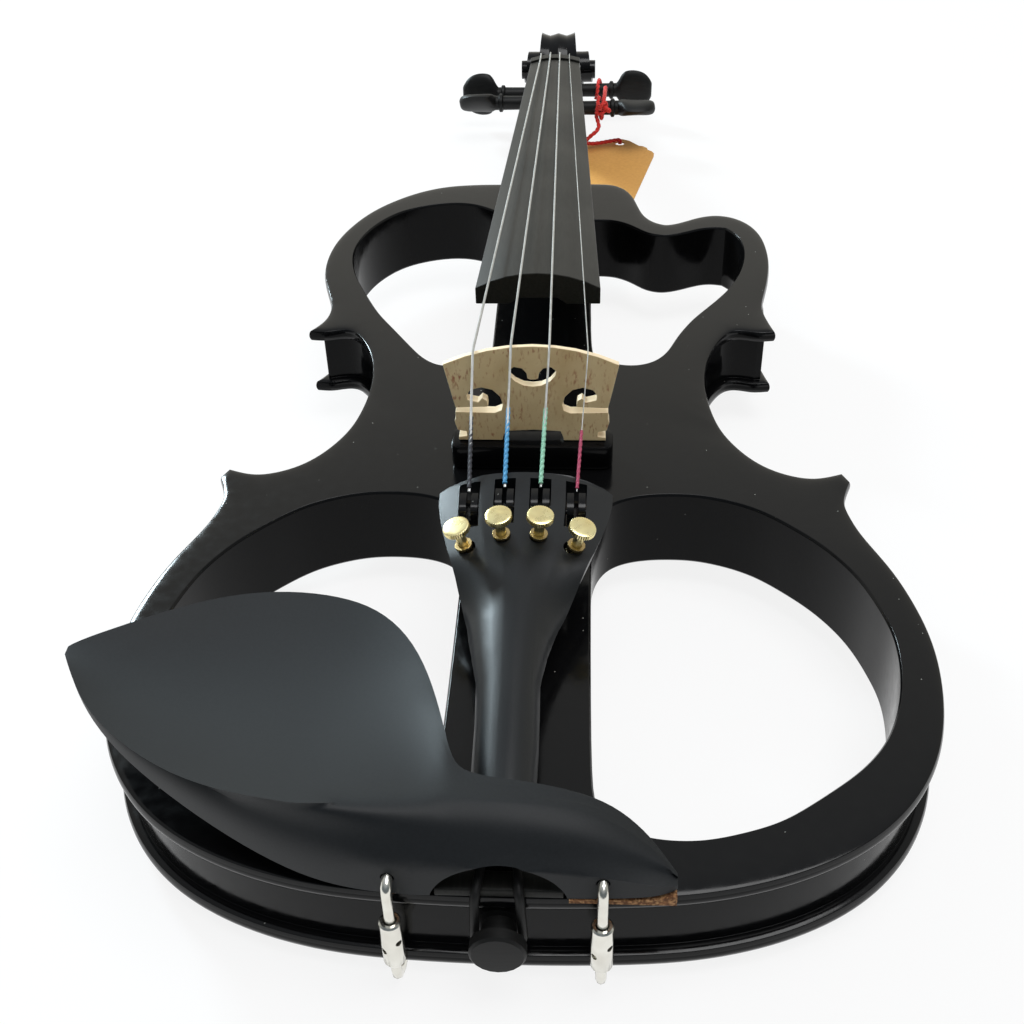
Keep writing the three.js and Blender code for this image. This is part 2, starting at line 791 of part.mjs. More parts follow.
function makeNeck() {
  const channelFromY = nutY + nutLength + 2 * gap
  const channelToY = scrollY - scrollRadius * 0.84
  const channel = []
  for (const y of [channelFromY, pegLineY, pegY('a'), channelToY]) {
    const head = headAt(y)
    const half = head.half - pegboxWall
    const floor = head.back + pegboxFloor
    const top = scrollZ + 2 * scrollRadius
    channel.push([
      vector(-half, y, floor), vector(half, y, floor), vector(half, y, top), vector(-half, y, top)
    ])
  }
  let neck = makeHeel().add(makePegbox())
  neck = neck.subtract(toSolid(loft(channel))).add(makeScroll())
  const nutSeat = block(
    -boardNutWidth, boardNutWidth, nutY - gap, nutY + nutLength + gap,
    boardUnderZ(nutY) - gap, boardTopZ(nutY, 0) + overrun
  )
  neck = neck.subtract(toSolid(nutSeat))
  for (const name of stringNames) {
    const hole = rod(pegRadius + pegHoleClearance + gap, 2 * headAt(pegY(name)).half + 2 * overrun)
    neck = neck.subtract(toSolid(hole.rotateZ(Math.PI / 2).translate(0, pegY(name), pegZ(name))))
  }
  addPart('neck', neck, 'lacquer')
}

// Pickup, bridge and its cut-outs
const pickupTopZ = bodyThickness + gap + pickupHeight
const bridgeFootZ = pickupTopZ + gap
const bridgeTopZ = (x) => bridgeFootZ + bridgeHeight - archDrop(bridgeArchRadius, x)

function makePickup() {
  const half = pickupDepth / 2
  const quarter = [0, 1, 2, 3].map((step) => {
    const angle = full / 4 * step / 3
    return [
      pickupHalf - pickupEndRound * (1 - Math.cos(angle)), half - pickupEndRound * (1 - Math.sin(angle))
    ]
  })
  const front = quarter.map(([x, y]) => [x, -y]).reverse()
  const outline = flat([...front, ...quarter, ...mirrored(quarter), ...mirrored(front)])
  const bar = toSolid(prism(outline, bodyThickness + gap, pickupTopZ, pickupRound))
  const slotTop = pickupTopZ - pickupRound
  const slot = block(
    -piezoHalf - gap, pickupHalf + overrun, -piezoWidth / 2 - gap, piezoWidth / 2 + gap,
    slotTop - piezoHeight - 2 * gap, slotTop
  )
  addPart('pickup_bar', bar.subtract(toSolid(slot)), 'lacquer')
  const strip = block(
    -piezoHalf, pickupHalf - pickupRound, -piezoWidth / 2, piezoWidth / 2,
    slotTop - piezoHeight - gap, slotTop - gap
  )
  addPart('piezo_strip', strip, 'gold')
}

// Half of the bridge, from the middle of the foot arch out and up to the top corner,
// in shares of the top half width and of the bridge height.
const bridgeSideShares = [
  [0, 0.115], [0.32, 0.1], [0.35, 0.04], [0.36, 0], [0.86, 0], [0.86, 0.035], [0.765, 0.045],
  [0.77, 0.095], [0.87, 0.11], [0.9, 0.2], [0.885, 0.24], [0.885, 0.31], [0.44, 0.3], [0.36, 0.33],
  [0.345, 0.39], [0.37, 0.47], [0.46, 0.545], [0.58, 0.57], [0.7, 0.545], [0.75, 0.49], [0.74, 0.44],
  [0.62, 0.415], [0.575, 0.46], [0.52, 0.43], [0.51, 0.365], [0.88, 0.355], [0.9, 0.42], [1, 0.815]
]
const heartShares = [
  [0, 0.585], [0.1, 0.595], [0.2, 0.64], [0.26, 0.7], [0.27, 0.745], [0.21, 0.785], [0.12, 0.77],
  [0.07, 0.72], [0.06, 0.665], [0.03, 0.655]
]

function makeBridge() {
  const place = ([x, y]) => [x * bridgeTopHalf, bridgeFootZ + y * bridgeHeight]
  const shifted = ([x, z]) => [
    x + bridgePatternShift * (1 - Math.abs(x) / bridgeTopHalf), z
  ]
  const side = bridgeSideShares.map(place)
  const arc = []
  const arcSteps = 8
  for (let i = 0; i <= arcSteps; i++) {
    const x = bridgeTopHalf * (1 - 2 * i / arcSteps)
    arc.push([x, bridgeTopZ(x)])
  }
  const outline = [...side.slice(0, -1), ...arc, ...mirrored(side.slice(1, -1))]
  const profile = flat(outline.map(shifted))
  const halfFoot = bridgeFootThickness / 2
  const blank = toSolid(alongY(prism(profile, -halfFoot, halfFoot)))
  const rise = bridgeHeight + overrun
  const shaveX = bridgeTopHalf + overrun
  const shaved = halfFoot - (halfFoot - bridgeTopThickness / 2) * rise / bridgeHeight
  const shave = (face) => loft([-shaveX, shaveX].map((x) => [
    vector(x, face * halfFoot, bridgeFootZ),
    vector(x, face * (halfFoot + overrun), bridgeFootZ),
    vector(x, face * (halfFoot + overrun), bridgeFootZ + rise),
    vector(x, face * shaved, bridgeFootZ + rise)
  ]))
  const heart = heartShares.map(place)
  const heartOutline = flat([...heart, ...mirrored(heart.slice(1))].map(shifted))
  const heartCut = alongY(prism(heartOutline, -bridgeFootThickness, bridgeFootThickness))
  let bridge = blank
  for (const cut of [shave(1), shave(-1), heartCut]) bridge = bridge.subtract(toSolid(cut))
  addPart('bridge', bridge, 'maple')
}

// Tailpiece: half widths in shares of its front half width against shares of its length.
const tailpieceShares = [
  [0, 0.5], [0.008, 0.72], [0.018, 0.9], [0.03, 1], [0.07, 0.995], [0.16, 0.935], [0.235, 0.87],
  [0.3, 0.79], [0.37, 0.7], [0.45, 0.57], [0.535, 0.45], [0.616, 0.37], [0.72, 0.345], [1, 0.325]
]
const tailpieceFrontY = -bridgeToTail + tailpieceToSaddle + tailpieceLength
const tailpieceY = (share) => tailpieceFrontY - share * tailpieceLength
const tailpieceX = (y) => tailpieceLean * (tailpieceFrontY - y) / tailpieceLength
const tailpieceZ = (y) => blend(tailpieceFrontZ, tailpieceBackZ, (tailpieceFrontY - y) / tailpieceLength)
const tailpieceTop = (y, x) => tailpieceZ(y) - archDrop(tailpieceArchRadius, x - tailpieceX(y))
const tailpiecePitch = Math.atan2(tailpieceFrontZ - tailpieceBackZ, tailpieceLength)

function tailpieceSection([share, halfShare], shrink, lift, sink) {
  const y = tailpieceY(share)
  const centre = tailpieceX(y)
  const half = halfShare * tailpieceFrontHalf - shrink
  const arcSteps = 8
  const ring = []
  for (let i = 0; i <= arcSteps; i++) {
    const x = centre + half * (1 - 2 * i / arcSteps)
    ring.push(vector(x, y, tailpieceTop(y, x) - lift))
  }
  const skirt = Math.min(tailpieceSkirt, 0.5 * tailpieceSkirt + 0.7 * half) + sink
  ring.push(vector(centre - half * 0.93, y, tailpieceZ(y) - skirt))
  ring.push(vector(centre + half * 0.93, y, tailpieceZ(y) - skirt))
  return ring
}

const stringShare = (name) => stringNames.indexOf(name) / (stringNames.length - 1) - 0.5
const tunerX = (name) => tunerCentre + stringShare(name) * tunerSpread
const tunerFrontY = tailpieceFrontY - tunerSlotInset

function halfShareAt(share) {
  const next = tailpieceShares.findIndex(([along]) => along > share)
  const [fromAlong, fromHalf] = tailpieceShares[next - 1]
  const [toAlong, toHalf] = tailpieceShares[next]
  return blend(fromHalf, toHalf, (share - fromAlong) / (toAlong - fromAlong))
}

function makeTailpiece() {
  let tailpiece = toSolid(loft(tailpieceShares.map((entry) => tailpieceSection(entry, 0, 0, 0))))
  const blockShare = tailpieceBlockLength / tailpieceLength
  const behind = tailpieceShares.filter(([along]) => along > blockShare && along < 0.6)
  const hollowShares = [[blockShare, halfShareAt(blockShare)], ...behind]
  const hollow = hollowShares.map((entry) => (
    tailpieceSection(entry, tailpieceShell * 0.75, tailpieceShell, tailpieceSkirt)
  ))
  const cuts = [loft(hollow)]
  for (const name of stringNames) {
    cuts.push(block(
      tunerX(name) - tunerSlotWidth / 2, tunerX(name) + tunerSlotWidth / 2,
      tunerFrontY - tunerSlotLength, tunerFrontY, tailpieceBackZ, tailpieceFrontZ + overrun
    ))
    cuts.push(onScrewAxis(rod(bushingRadius + gap, 2 * tailpieceSkirt, 16), name, 0))
    const pivot = leverPivot(name)
    const pinHole = rod(leverPinRadius + gap, tunerSlotWidth + 2 * leverPinReach, 8).rotateZ(Math.PI / 2)
    cuts.push(moved(pinHole, pivot.x, pivot.y, pivot.z))
    const { hook, bridge } = stringPoints(name)
    const along = bridge.clone().sub(hook).normalize()
    const notch = rod(silkRadius(name) + gap, 2 * leverPivotInset, 10)
    notch.applyQuaternion(new THREE.Quaternion().setFromUnitVectors(vector(0, 1, 0), along))
    const mouth = hook.clone().addScaledVector(along, leverPivotInset)
    cuts.push(moved(notch, mouth.x, mouth.y, mouth.z))
  }
  const endY = tailpieceY(1)
  for (const side of [-1, 1]) {
    const gutHole = rod(gutRadius + gap, tailpieceSkirt * 2, 12)
    cuts.push(moved(gutHole, tailpieceX(endY) + side * gutHalfAtTailpiece, endY, gutTopZ))
  }
  for (const cut of cuts) tailpiece = tailpiece.subtract(toSolid(cut))
  addPart('tailpiece', tailpiece, 'satinBlack')
}

// The screws stand square to the arched plate, so the outer ones lean outward.
function screwFrame(name) {
  const outer = 2 * Math.abs(stringShare(name))
  const y = tailpieceFrontY - screwInset - screwOuterInset * outer ** 2
  const x = tunerX(name)
  const lean = Math.asin((x - tunerCentre) / tailpieceArchRadius)
  const axis = vector(Math.sin(lean), -Math.sin(tailpiecePitch), Math.cos(lean)).normalize()
  return { foot: vector(x, y, tailpieceTop(y, x)), axis }
}

function onScrewAxis(geometry, name, height) {
  const { foot, axis } = screwFrame(name)
  const turn = new THREE.Quaternion().setFromUnitVectors(vector(0, 1, 0), axis)
  const centre = foot.clone().addScaledVector(axis, height)
  return geometry.applyQuaternion(turn).translate(centre.x, centre.y, centre.z)
}

function makeScrew(name) {
  const stemLength = screwRise + tailpieceShell + screwTipReach
  const stem = rod(screwStemRadius, stemLength, 12).translate(0, screwRise - stemLength / 2, 0)
  const knurled = []
  for (let i = 0; i < 2 * screwKnurls; i++) {
    const radius = screwHeadRadius - (i % 2) * knurlDepth
    const angle = full * i / (2 * screwKnurls)
    knurled.push([radius * Math.cos(angle), radius * Math.sin(angle)])
  }
  const head = prism(flat(knurled), 0, screwHeadThickness).rotateX(-Math.PI / 2)
  const capRadius = screwHeadRadius - 2 * knurlDepth
  const topY = screwRise + screwHeadThickness
  const cap = new THREE.CylinderGeometry(capRadius * 0.9, capRadius, 2 * knurlDepth, 16)
  const screw = toSolid(stem).add(toSolid(head.translate(0, screwRise - gap, 0)))
    .add(toSolid(cap.translate(0, topY - gap, 0)))
  addPart(`tuner_screw_${name}`, onScrewAxis(toGeometry(screw), name, 0), 'gold')
}

function makeBushing(name) {
  const inner = screwStemRadius + bushingClearance
  const low = -tailpieceShell * 0.9
  const profile = [
    [inner, low], [bushingRadius, low], [bushingRadius, gap], [bushingRadius + bushingLip, gap],
    [bushingRadius + bushingLip, gap + 2 * bushingLip], [inner, gap + 2 * bushingLip], [inner, low]
  ]
  addPart(`tuner_bushing_${name}`, onScrewAxis(new THREE.LatheGeometry(flat(profile), 12), name, 0), 'gold')
}

// A lever rocks on its pin in the slot: a forked hook stands up to the string,
// and an arm runs back under the screw.
function leverPivot(name) {
  const y = tunerFrontY - leverPivotInset
  return vector(tunerX(name), y, tailpieceTop(y, tunerX(name)) - leverPivotDepth)
}

function leverHook(name) {
  const pivot = leverPivot(name)
  return vector(pivot.x, pivot.y + leverThickness / 2, pivot.z + leverPivotDepth + leverHookRise)
}

function makeLever(name) {
  const pivot = leverPivot(name)
  const { foot, axis } = screwFrame(name)
  const tip = foot.clone().addScaledVector(axis, -tailpieceShell - screwTipReach)
  const padY = tip.y - pivot.y
  const padZ = tip.z - pivot.z - screwStemRadius * (1 - axis.z) - gap - screwStemRadius / 4
  const t = leverThickness
  const h = leverPivotDepth
  const profile = [
    [padY - t, padZ], [padY - t, padZ - t / 2], [padY + t, padZ - t / 2], [-t * 2.2, -t * 1.3],
    [-t * 0.6, -t * 0.9], [t * 0.6, -t * 0.9], [t * 1.1, 0], [t * 1.2, h * 0.75], [t * 0.8, h + gap],
    [-t * 0.8, h + gap], [-t * 2, h * 0.88], [-t * 2.5, h * 0.5], [-t * 2.7, 0], [-t * 3.2, -t * 0.5],
    [padY + t, padZ]
  ]
  const half = leverWidth / 2
  let lever = toSolid(alongX(prism(flat(profile), -half, half)))
  const pin = rod(leverPinRadius, tunerSlotWidth + 2 * leverPinReach - 2 * gap, 8).rotateZ(Math.PI / 2)
  const forkGap = block(-leverForkGap / 2, leverForkGap / 2, -3 * t, 2 * t, leverPinRadius + gap, 2 * h)
  lever = lever.add(toSolid(pin)).subtract(toSolid(forkGap))
  addPart(`tuner_lever_${name}`, toGeometry(lever).translate(pivot.x, pivot.y, pivot.z), 'satinBlack')
}

// Strings
const stringRadius = (name) => stringDiameters[name] / 2
const silkRadius = (name) => stringRadius(name) + gap / 2 + silkWall

function stringPoints(name) {
  const radius = stringRadius(name)
  const atBridge = stringShare(name) * stringSpreadAtBridge
  const atNut = stringShare(name) * stringSpreadAtNut
  const nutZ = boardTopZ(nutY, atNut) + nutRise + gap + radius
  return {
    hook: leverHook(name),
    bridge: vector(atBridge, -bridgeTopThickness, bridgeTopZ(atBridge) + gap + radius),
    nut: vector(atNut, nutY, nutZ),
    nutBack: vector(atNut, nutY + nutLength + gap, nutZ)
  }
}

// The winding runs along the peg from near the wall on the side of its knob toward the middle.
function windingPoints(name, from) {
  const steps = 8
  const radius = pegRadius + gap + stringRadius(name)
  const reach = pegSides[name] * (headAt(pegY(name)).half - pegboxWall - windingPitch)
  const dy = pegY(name) - from.y
  const dz = pegZ(name) - from.z
  const start = Math.atan2(dz, dy) + Math.PI / 2 + Math.asin(radius / Math.hypot(dy, dz))
  const points = []
  for (let i = 0; i <= windingTurns * steps; i++) {
    const angle = start - full * i / steps
    const across = reach - pegSides[name] * windingPitch * i / steps
    points.push(vector(across, pegY(name) + radius * Math.cos(angle), pegZ(name) + radius * Math.sin(angle)))
  }
  return points
}

function leastGapInWinding(points, radius) {
  const steps = 8
  let least = Infinity
  for (let i = 0; i < points.length; i++) {
    for (let j = i + steps / 2; j < points.length; j++) {
      least = Math.min(least, points[i].distanceTo(points[j]) - 2 * radius)
    }
  }
  return least
}

function makeString(name) {
  const radius = stringRadius(name)
  const { hook, bridge, nut, nutBack } = stringPoints(name)
  const winding = windingPoints(name, nutBack)
  const start = hook.clone().lerp(bridge, 0.02)
  const bridgeBack = bridge.clone().setY(-bridge.y)
  const string = tube([start, bridge, bridgeBack, nut, nutBack, ...winding], radius, 5)
  addPart(`string_${name}`, string, 'steel')
  const sleeve = silkShare[name]
  const length = hook.distanceTo(bridge) * sleeve
  const inner = radius + gap / 2
  const outer = silkRadius(name)
  const profile = [[inner, 0], [outer, 0], [outer, length], [inner, length], [inner, 0]]
  const silk = new THREE.LatheGeometry(flat(profile), 10)
  const along = bridge.clone().sub(hook).normalize()
  silk.applyQuaternion(new THREE.Quaternion().setFromUnitVectors(vector(0, 1, 0), along))
  const foot = hook.clone().lerp(bridge, 0.04)
  addPart(`string_silk_${name}`, silk.translate(foot.x, foot.y, foot.z), `silk${name.toUpperCase()}`)
  return leastGapInWinding(winding, radius)
}

// Pegs: the shaft tapers to its tip, and the knob is a thumb turn.
function makePeg(name) {
  const side = pegSides[name]
  const tipX = -(headAt(pegY(name)).half + gap)
  const collarEnd = pegCollarX + pegCollarLength
  const knobStart = collarEnd + pegWaistLength / 2
  const edge = pegCollarLength / 4
  const shaft = new THREE.LatheGeometry(flat([
    [0, tipX], [pegTipRadius, tipX], [pegRadius, pegCollarX], [pegCollarRadius, pegCollarX + edge],
    [pegCollarRadius, collarEnd - edge], [pegRadius, collarEnd], [pegRadius, knobStart + edge],
    [0, knobStart + edge]
  ]), 16)
  const knobShares = [
    [0, 0.3, 0.7], [0.08, 0.5, 0.85], [0.16, 0.86, 0.86], [0.3, 0.99, 0.76], [0.55, 1, 0.7],
    [0.78, 0.86, 0.78], [0.93, 0.6, 0.74], [1, 0.34, 0.44]
  ]
  const rings = knobShares.map(([along, wide, deep]) => circle(1, 12).map((corner) => vector(
    corner.y * pegKnobHalfDepth * deep, knobStart + along * pegKnobLength,
    corner.x * pegKnobHalfWidth * wide
  )))
  const peg = toGeometry(toSolid(shaft).add(toSolid(loft(rings))))
  peg.rotateY(pegKnobTurns[name] * Math.PI).rotateZ(-side * Math.PI / 2)
  addPart(`peg_${name}`, peg.translate(0, pegY(name), pegZ(name)), 'pegBlack')
}

// End button and tailgut
const ribY = -bridgeToTail + ribRecess
const buttonCollarY = ribY - gap
const buttonNeckY = buttonCollarY - buttonCollarLength
const buttonHeadY = buttonNeckY - buttonNeckLength
const gutY = buttonNeckY - buttonNeckLength / 2
const gutTopZ = tailpieceBackZ - tailpieceSkirt * 0.5
const saddleTopZ = bodyThickness + gap + saddleHeight

function makeEndButton() {
  const faceY = buttonHeadY - buttonHeadLength
  const profile = flat([
    [0, ribY + buttonShankLength - overrun], [buttonShankRadius * 0.9, ribY + buttonShankLength - overrun],
    [buttonShankRadius, buttonCollarY], [buttonCollarRadius, buttonCollarY],
    [buttonCollarRadius, buttonNeckY + gap], [buttonNeckRadius, buttonNeckY],
    [buttonNeckRadius, buttonHeadY], [buttonHeadRadius, buttonHeadY - gap],
    [buttonHeadRadius, faceY + 2 * gap], [buttonHeadRadius - 2 * gap, faceY],
    [0, faceY - gap]
  ].reverse())
  const button = new THREE.LatheGeometry(profile, 20)
  addPart('end_button', button.translate(buttonX, 0, buttonZ), 'pegBlack')
}

function makeTailgut() {
  const loop = buttonNeckRadius + gap + gutRadius
  const endY = tailpieceY(1)
  const overZ = saddleTopZ + gap + gutRadius
  const saddleY = -bridgeToTail
  const half = []
  const endX = tailpieceX(endY)
  half.push(vector(endX + gutHalfAtTailpiece, endY, gutTopZ))
  half.push(vector(endX + gutHalfAtTailpiece, endY - 2 * gutRadius, blend(gutTopZ, overZ, 0.3)))
  half.push(vector(blend(endX + gutHalfAtTailpiece, buttonX + loop, 0.4), saddleY + saddleDepth / 2, overZ))
  const overX = blend(endX + gutHalfAtTailpiece, buttonX + loop, 0.55)
  half.push(vector(overX, saddleY - gutRadius / 2, overZ - gap))
  half.push(vector(blend(endX + gutHalfAtTailpiece, buttonX + loop, 0.7), gutY, overZ - 2 * gutRadius))
  const arcSteps = 6
  for (let i = 0; i <= arcSteps; i++) {
    const angle = -Math.PI / 2 * i / arcSteps
    half.push(vector(buttonX + loop * Math.cos(angle), gutY, buttonZ + loop * Math.sin(angle)))
  }
  const other = half.slice(0, -1).reverse().map((point) => {
    const centre = blend(buttonX, endX, THREE.MathUtils.clamp((point.y - gutY) / (endY - gutY), 0, 1))
    return vector(2 * centre - point.x, point.y, point.z)
  })
  addPart('tailgut', tube([...half, ...other], gutRadius, 8), 'pegBlack')
}

function makeSaddle() {
  const endY = -bridgeToTail
  const round = saddleHeight / 2
  const profile = flat([
    [endY + gap, bodyThickness + gap], [endY + saddleDepth, bodyThickness + gap],
    [endY + saddleDepth, saddleTopZ - round / 2], [endY + saddleDepth - round / 2, saddleTopZ],
    [endY + round, saddleTopZ], [endY + round / 2, saddleTopZ - round / 4], [endY + gap, saddleTopZ - round]
  ])
  const saddle = alongX(prism(profile, archX - saddleHalf, archX + saddleHalf))
  addPart('end_saddle', saddle, 'pegBlack')
}

// Chinrest: sections across the cup, from the tip at the left to the right foot.
// along is a share of the length. front, lip and outer are shares of the cup width from the outer line.
// frontZ, lipZ and outerZ are shares of the lip height above the foot, and dip is the cup's hollow.
const chinrestShares = [
  { along: 0, front: 0.725, lip: 0.685, outer: 0.69, frontZ: 0.98, lipZ: 0.98, outerZ: 0.86, dip: 0 },
  { along: 0.025, front: 0.77, lip: 0.59, outer: 0.59, frontZ: 0.97, lipZ: 0.99, outerZ: 0.84, dip: 0.03 },
  { along: 0.07, front: 0.83, lip: 0.445, outer: 0.46, frontZ: 0.95, lipZ: 1, outerZ: 0.74, dip: 0.09 },
  { along: 0.14, front: 0.924, lip: 0.31, outer: 0.335, frontZ: 0.92, lipZ: 1, outerZ: 0.59, dip: 0.17 },
  { along: 0.24, front: 1.028, lip: 0.18, outer: 0.215, frontZ: 0.87, lipZ: 0.99, outerZ: 0.38, dip: 0.24 },
  { along: 0.34, front: 1.065, lip: 0.12, outer: 0.115, frontZ: 0.83, lipZ: 0.97, outerZ: 0.2, dip: 0.27 },
  { along: 0.43, front: 1.045, lip: 0.1, outer: 0.05, frontZ: 0.81, lipZ: 0.94, outerZ: 0.05, dip: 0.27 },
  { along: 0.5, front: 0.987, lip: 0.105, outer: 0.02, frontZ: 0.8, lipZ: 0.91, outerZ: 0, dip: 0.23 },
  { along: 0.56, front: 0.862, lip: 0.12, outer: 0.005, frontZ: 0.8, lipZ: 0.88, outerZ: 0, dip: 0.17 },
  { along: 0.605, front: 0.68, lip: 0.13, outer: 0, frontZ: 0.8, lipZ: 0.86, outerZ: 0, dip: 0.1 },
  { along: 0.638, front: 0.46, lip: 0.14, outer: 0, frontZ: 0.8, lipZ: 0.85, outerZ: 0, dip: 0.03 },
  { along: 0.656, front: 0.315, lip: 0.15, outer: 0, frontZ: 0.8, lipZ: 0.84, outerZ: 0, dip: 0 },
  { along: 0.68, front: 0.258, lip: 0.15, outer: 0, frontZ: 0.8, lipZ: 0.83, outerZ: 0, dip: 0 },
  { along: 0.76, front: 0.245, lip: 0.15, outer: 0, frontZ: 0.78, lipZ: 0.8, outerZ: 0, dip: 0 },
  { along: 0.86, front: 0.225, lip: 0.15, outer: 0, frontZ: 0.7, lipZ: 0.71, outerZ: 0, dip: 0 },
  { along: 0.92, front: 0.2, lip: 0.13, outer: 0, frontZ: 0.52, lipZ: 0.54, outerZ: 0.02, dip: 0 },
  { along: 0.962, front: 0.14, lip: 0.095, outer: 0, frontZ: 0.37, lipZ: 0.39, outerZ: 0.05, dip: 0 },
  { along: 0.985, front: 0.085, lip: 0.06, outer: 0.005, frontZ: 0.28, lipZ: 0.29, outerZ: 0.09, dip: 0 },
  { along: 1, front: 0.05, lip: 0.035, outer: 0.015, frontZ: 0.22, lipZ: 0.22, outerZ: 0.12, dip: 0 }
]

function chinrestSection(share) {
  const x = chinrestRightX - chinrestLength * (1 - share.along)
  const across = (value) => chinrestOuterY + value * chinrestCupWidth
  const tall = chinrestLipZ - chinrestHoldZ
  const up = (value) => chinrestHoldZ + value * tall
  const front = [across(share.front), up(share.frontZ)]
  const lip = [across(share.lip), up(share.lipZ)]
  const outer = [across(share.outer), up(share.outerZ)]
  const points = []
  const cupSteps = 6
  for (let i = 0; i <= cupSteps; i++) {
    const t = i / cupSteps
    const hollow = 4 * t * (1 - t) * share.dip * tall
    points.push([blend(front[0], lip[0], t), blend(front[1], lip[1], t) - hollow])
  }
  const coveY = outer[0] + chinrestCove * (1 - share.outerZ)
  points.push([blend(lip[0], coveY, 0.6), blend(lip[1], outer[1], 0.08)])
  points.push([coveY, blend(lip[1], outer[1], 0.3)])
  points.push([outer[0], blend(lip[1], outer[1], 0.48)])
  points.push(outer)
  const wall = Math.min(chinrestWall, 0.45 * (front[1] - chinrestHoldZ))
  const insideY = Math.min(blend(outer[0], front[0], 0.5), outer[0] + corkDepth + chinrestFootLip)
  points.push([insideY, outer[1]])
  for (let i = cupSteps - 1; i >= 1; i--) {
    const t = i / cupSteps
    const y = blend(front[0], lip[0], t)
    const hollow = 4 * t * (1 - t) * share.dip * tall
    const low = blend(front[1], lip[1], t) - hollow - wall
    points.push([Math.max(y, blend(insideY, front[0], 1 - t)), Math.max(low, outer[1])])
  }
  points.push([front[0] - wall * 0.2, Math.max(front[1] - wall * 0.8, outer[1])])
  return points.map(([y, z]) => vector(x, y, z))
}

function makeChinrest() {
  let chinrest = toSolid(loft(chinrestShares.map(chinrestSection)))
  const archRise = archTopZ - bodyThickness
  const archSteps = 12
  const arch = []
  for (let i = 0; i <= archSteps; i++) {
    const angle = Math.PI * i / archSteps
    arch.push([archX + archHalf * Math.cos(angle), bodyThickness + archRise * Math.sin(angle)])
  }
  arch.push([archX - archHalf, bodyThickness - overrun], [archX + archHalf, bodyThickness - overrun])
  const tunnel = alongY(prism(flat(arch), -chinrestCupWidth, overrun)).translate(0, chinrestOuterY, 0)
  chinrest = chinrest.subtract(toSolid(tunnel))
  for (const x of [clampLeftX, clampRightX]) {
    const hole = rod(rodRadius + gap, 2 * hookReach, 16)
    chinrest = chinrest.subtract(toSolid(moved(hole, x, chinrestOuterY, hookInZ)))
  }
  addPart('chinrest', chinrest, 'satinBlack')
  const corkTop = chinrestHoldZ - gap
  const corkLow = corkTop - corkThickness + gap
  const corkY = -bridgeToTail + gap
  const left = block(
    archX - archHalf - corkLeft, archX - archHalf, corkY, corkY + corkDepth, corkLow, corkTop
  )
  const rightFrom = archX + archHalf
  const rightTo = rightFrom + corkRight
  const rightProfile = flat([
    [rightFrom, corkLow], [rightTo, corkLow], [rightTo, corkTop + corkRise],
    [blend(rightFrom, rightTo, 0.82), corkTop + corkRise / 3], [blend(rightFrom, rightTo, 0.6), corkTop],
    [rightFrom, corkTop]
  ])
  const rightBar = alongY(prism(rightProfile, 0, corkDepth)).translate(0, corkY + corkDepth, 0)
  const corkEndY = corkY + corkDepth * corkEndShare
  const rightPlan = flat([
    [rightFrom - overrun, corkY - overrun], [rightTo + overrun, corkY - overrun],
    [rightTo + overrun, corkEndY],
    [blend(rightFrom, rightTo, 0.6), corkY + corkDepth + overrun],
    [rightFrom - overrun, corkY + corkDepth + overrun]
  ])
  const rightPillar = prism(rightPlan, corkLow - overrun, corkTop + corkRise + overrun)
  const right = toSolid(rightBar).intersect(toSolid(rightPillar))
  addPart('chinrest_cork_left', left, 'cork')
  addPart('chinrest_cork_right', right, 'cork')
}

// Clamps: a bent hook, a turnbuckle barrel, and a U of wire under the back.
const clampY = -bridgeToTail - barrelRadius - 3 * gap
const barrelLowZ = barrelTopZ - barrelLength

function makeHook(name, x) {
  const bend = rodRadius * 1.5
  const inY = chinrestOuterY + hookReach - gap
  const points = [
    vector(x, inY, hookInZ), vector(x, clampY + bend, hookInZ),
    vector(x, clampY + bend * 0.3, hookInZ - bend * 0.3), vector(x, clampY, hookInZ - bend),
    vector(x, clampY, barrelTopZ - rodInBarrel)
  ]
  addPart(name, tube(points, rodRadius, 12), 'nickel')
}

function makeBarrel(name, x) {
  const bore = rodRadius + gap
  const profile = flat([
    [bore, barrelLowZ], [barrelRadius - barrelChamfer, barrelLowZ],
    [barrelRadius, barrelLowZ + 2 * barrelChamfer], [barrelRadius, barrelTopZ - barrelChamfer / 2],
    [barrelRadius - barrelChamfer / 2, barrelTopZ], [bore, barrelTopZ], [bore, barrelLowZ]
  ])
  let barrel = toSolid(new THREE.LatheGeometry(profile, 16).rotateX(Math.PI / 2))
  for (const [turn, share] of [[0.25, 0.42], [0.75, 0.62]]) {
    const hole = rod(barrelHoleRadius, 3 * barrelRadius, 8).rotateZ(Math.PI / 2).rotateZ(turn * Math.PI)
    barrel = barrel.subtract(toSolid(hole.translate(0, 0, barrelLowZ + share * barrelLength)))
  }
  addPart(name, toGeometry(barrel).translate(x, clampY, 0), 'nickel')
}

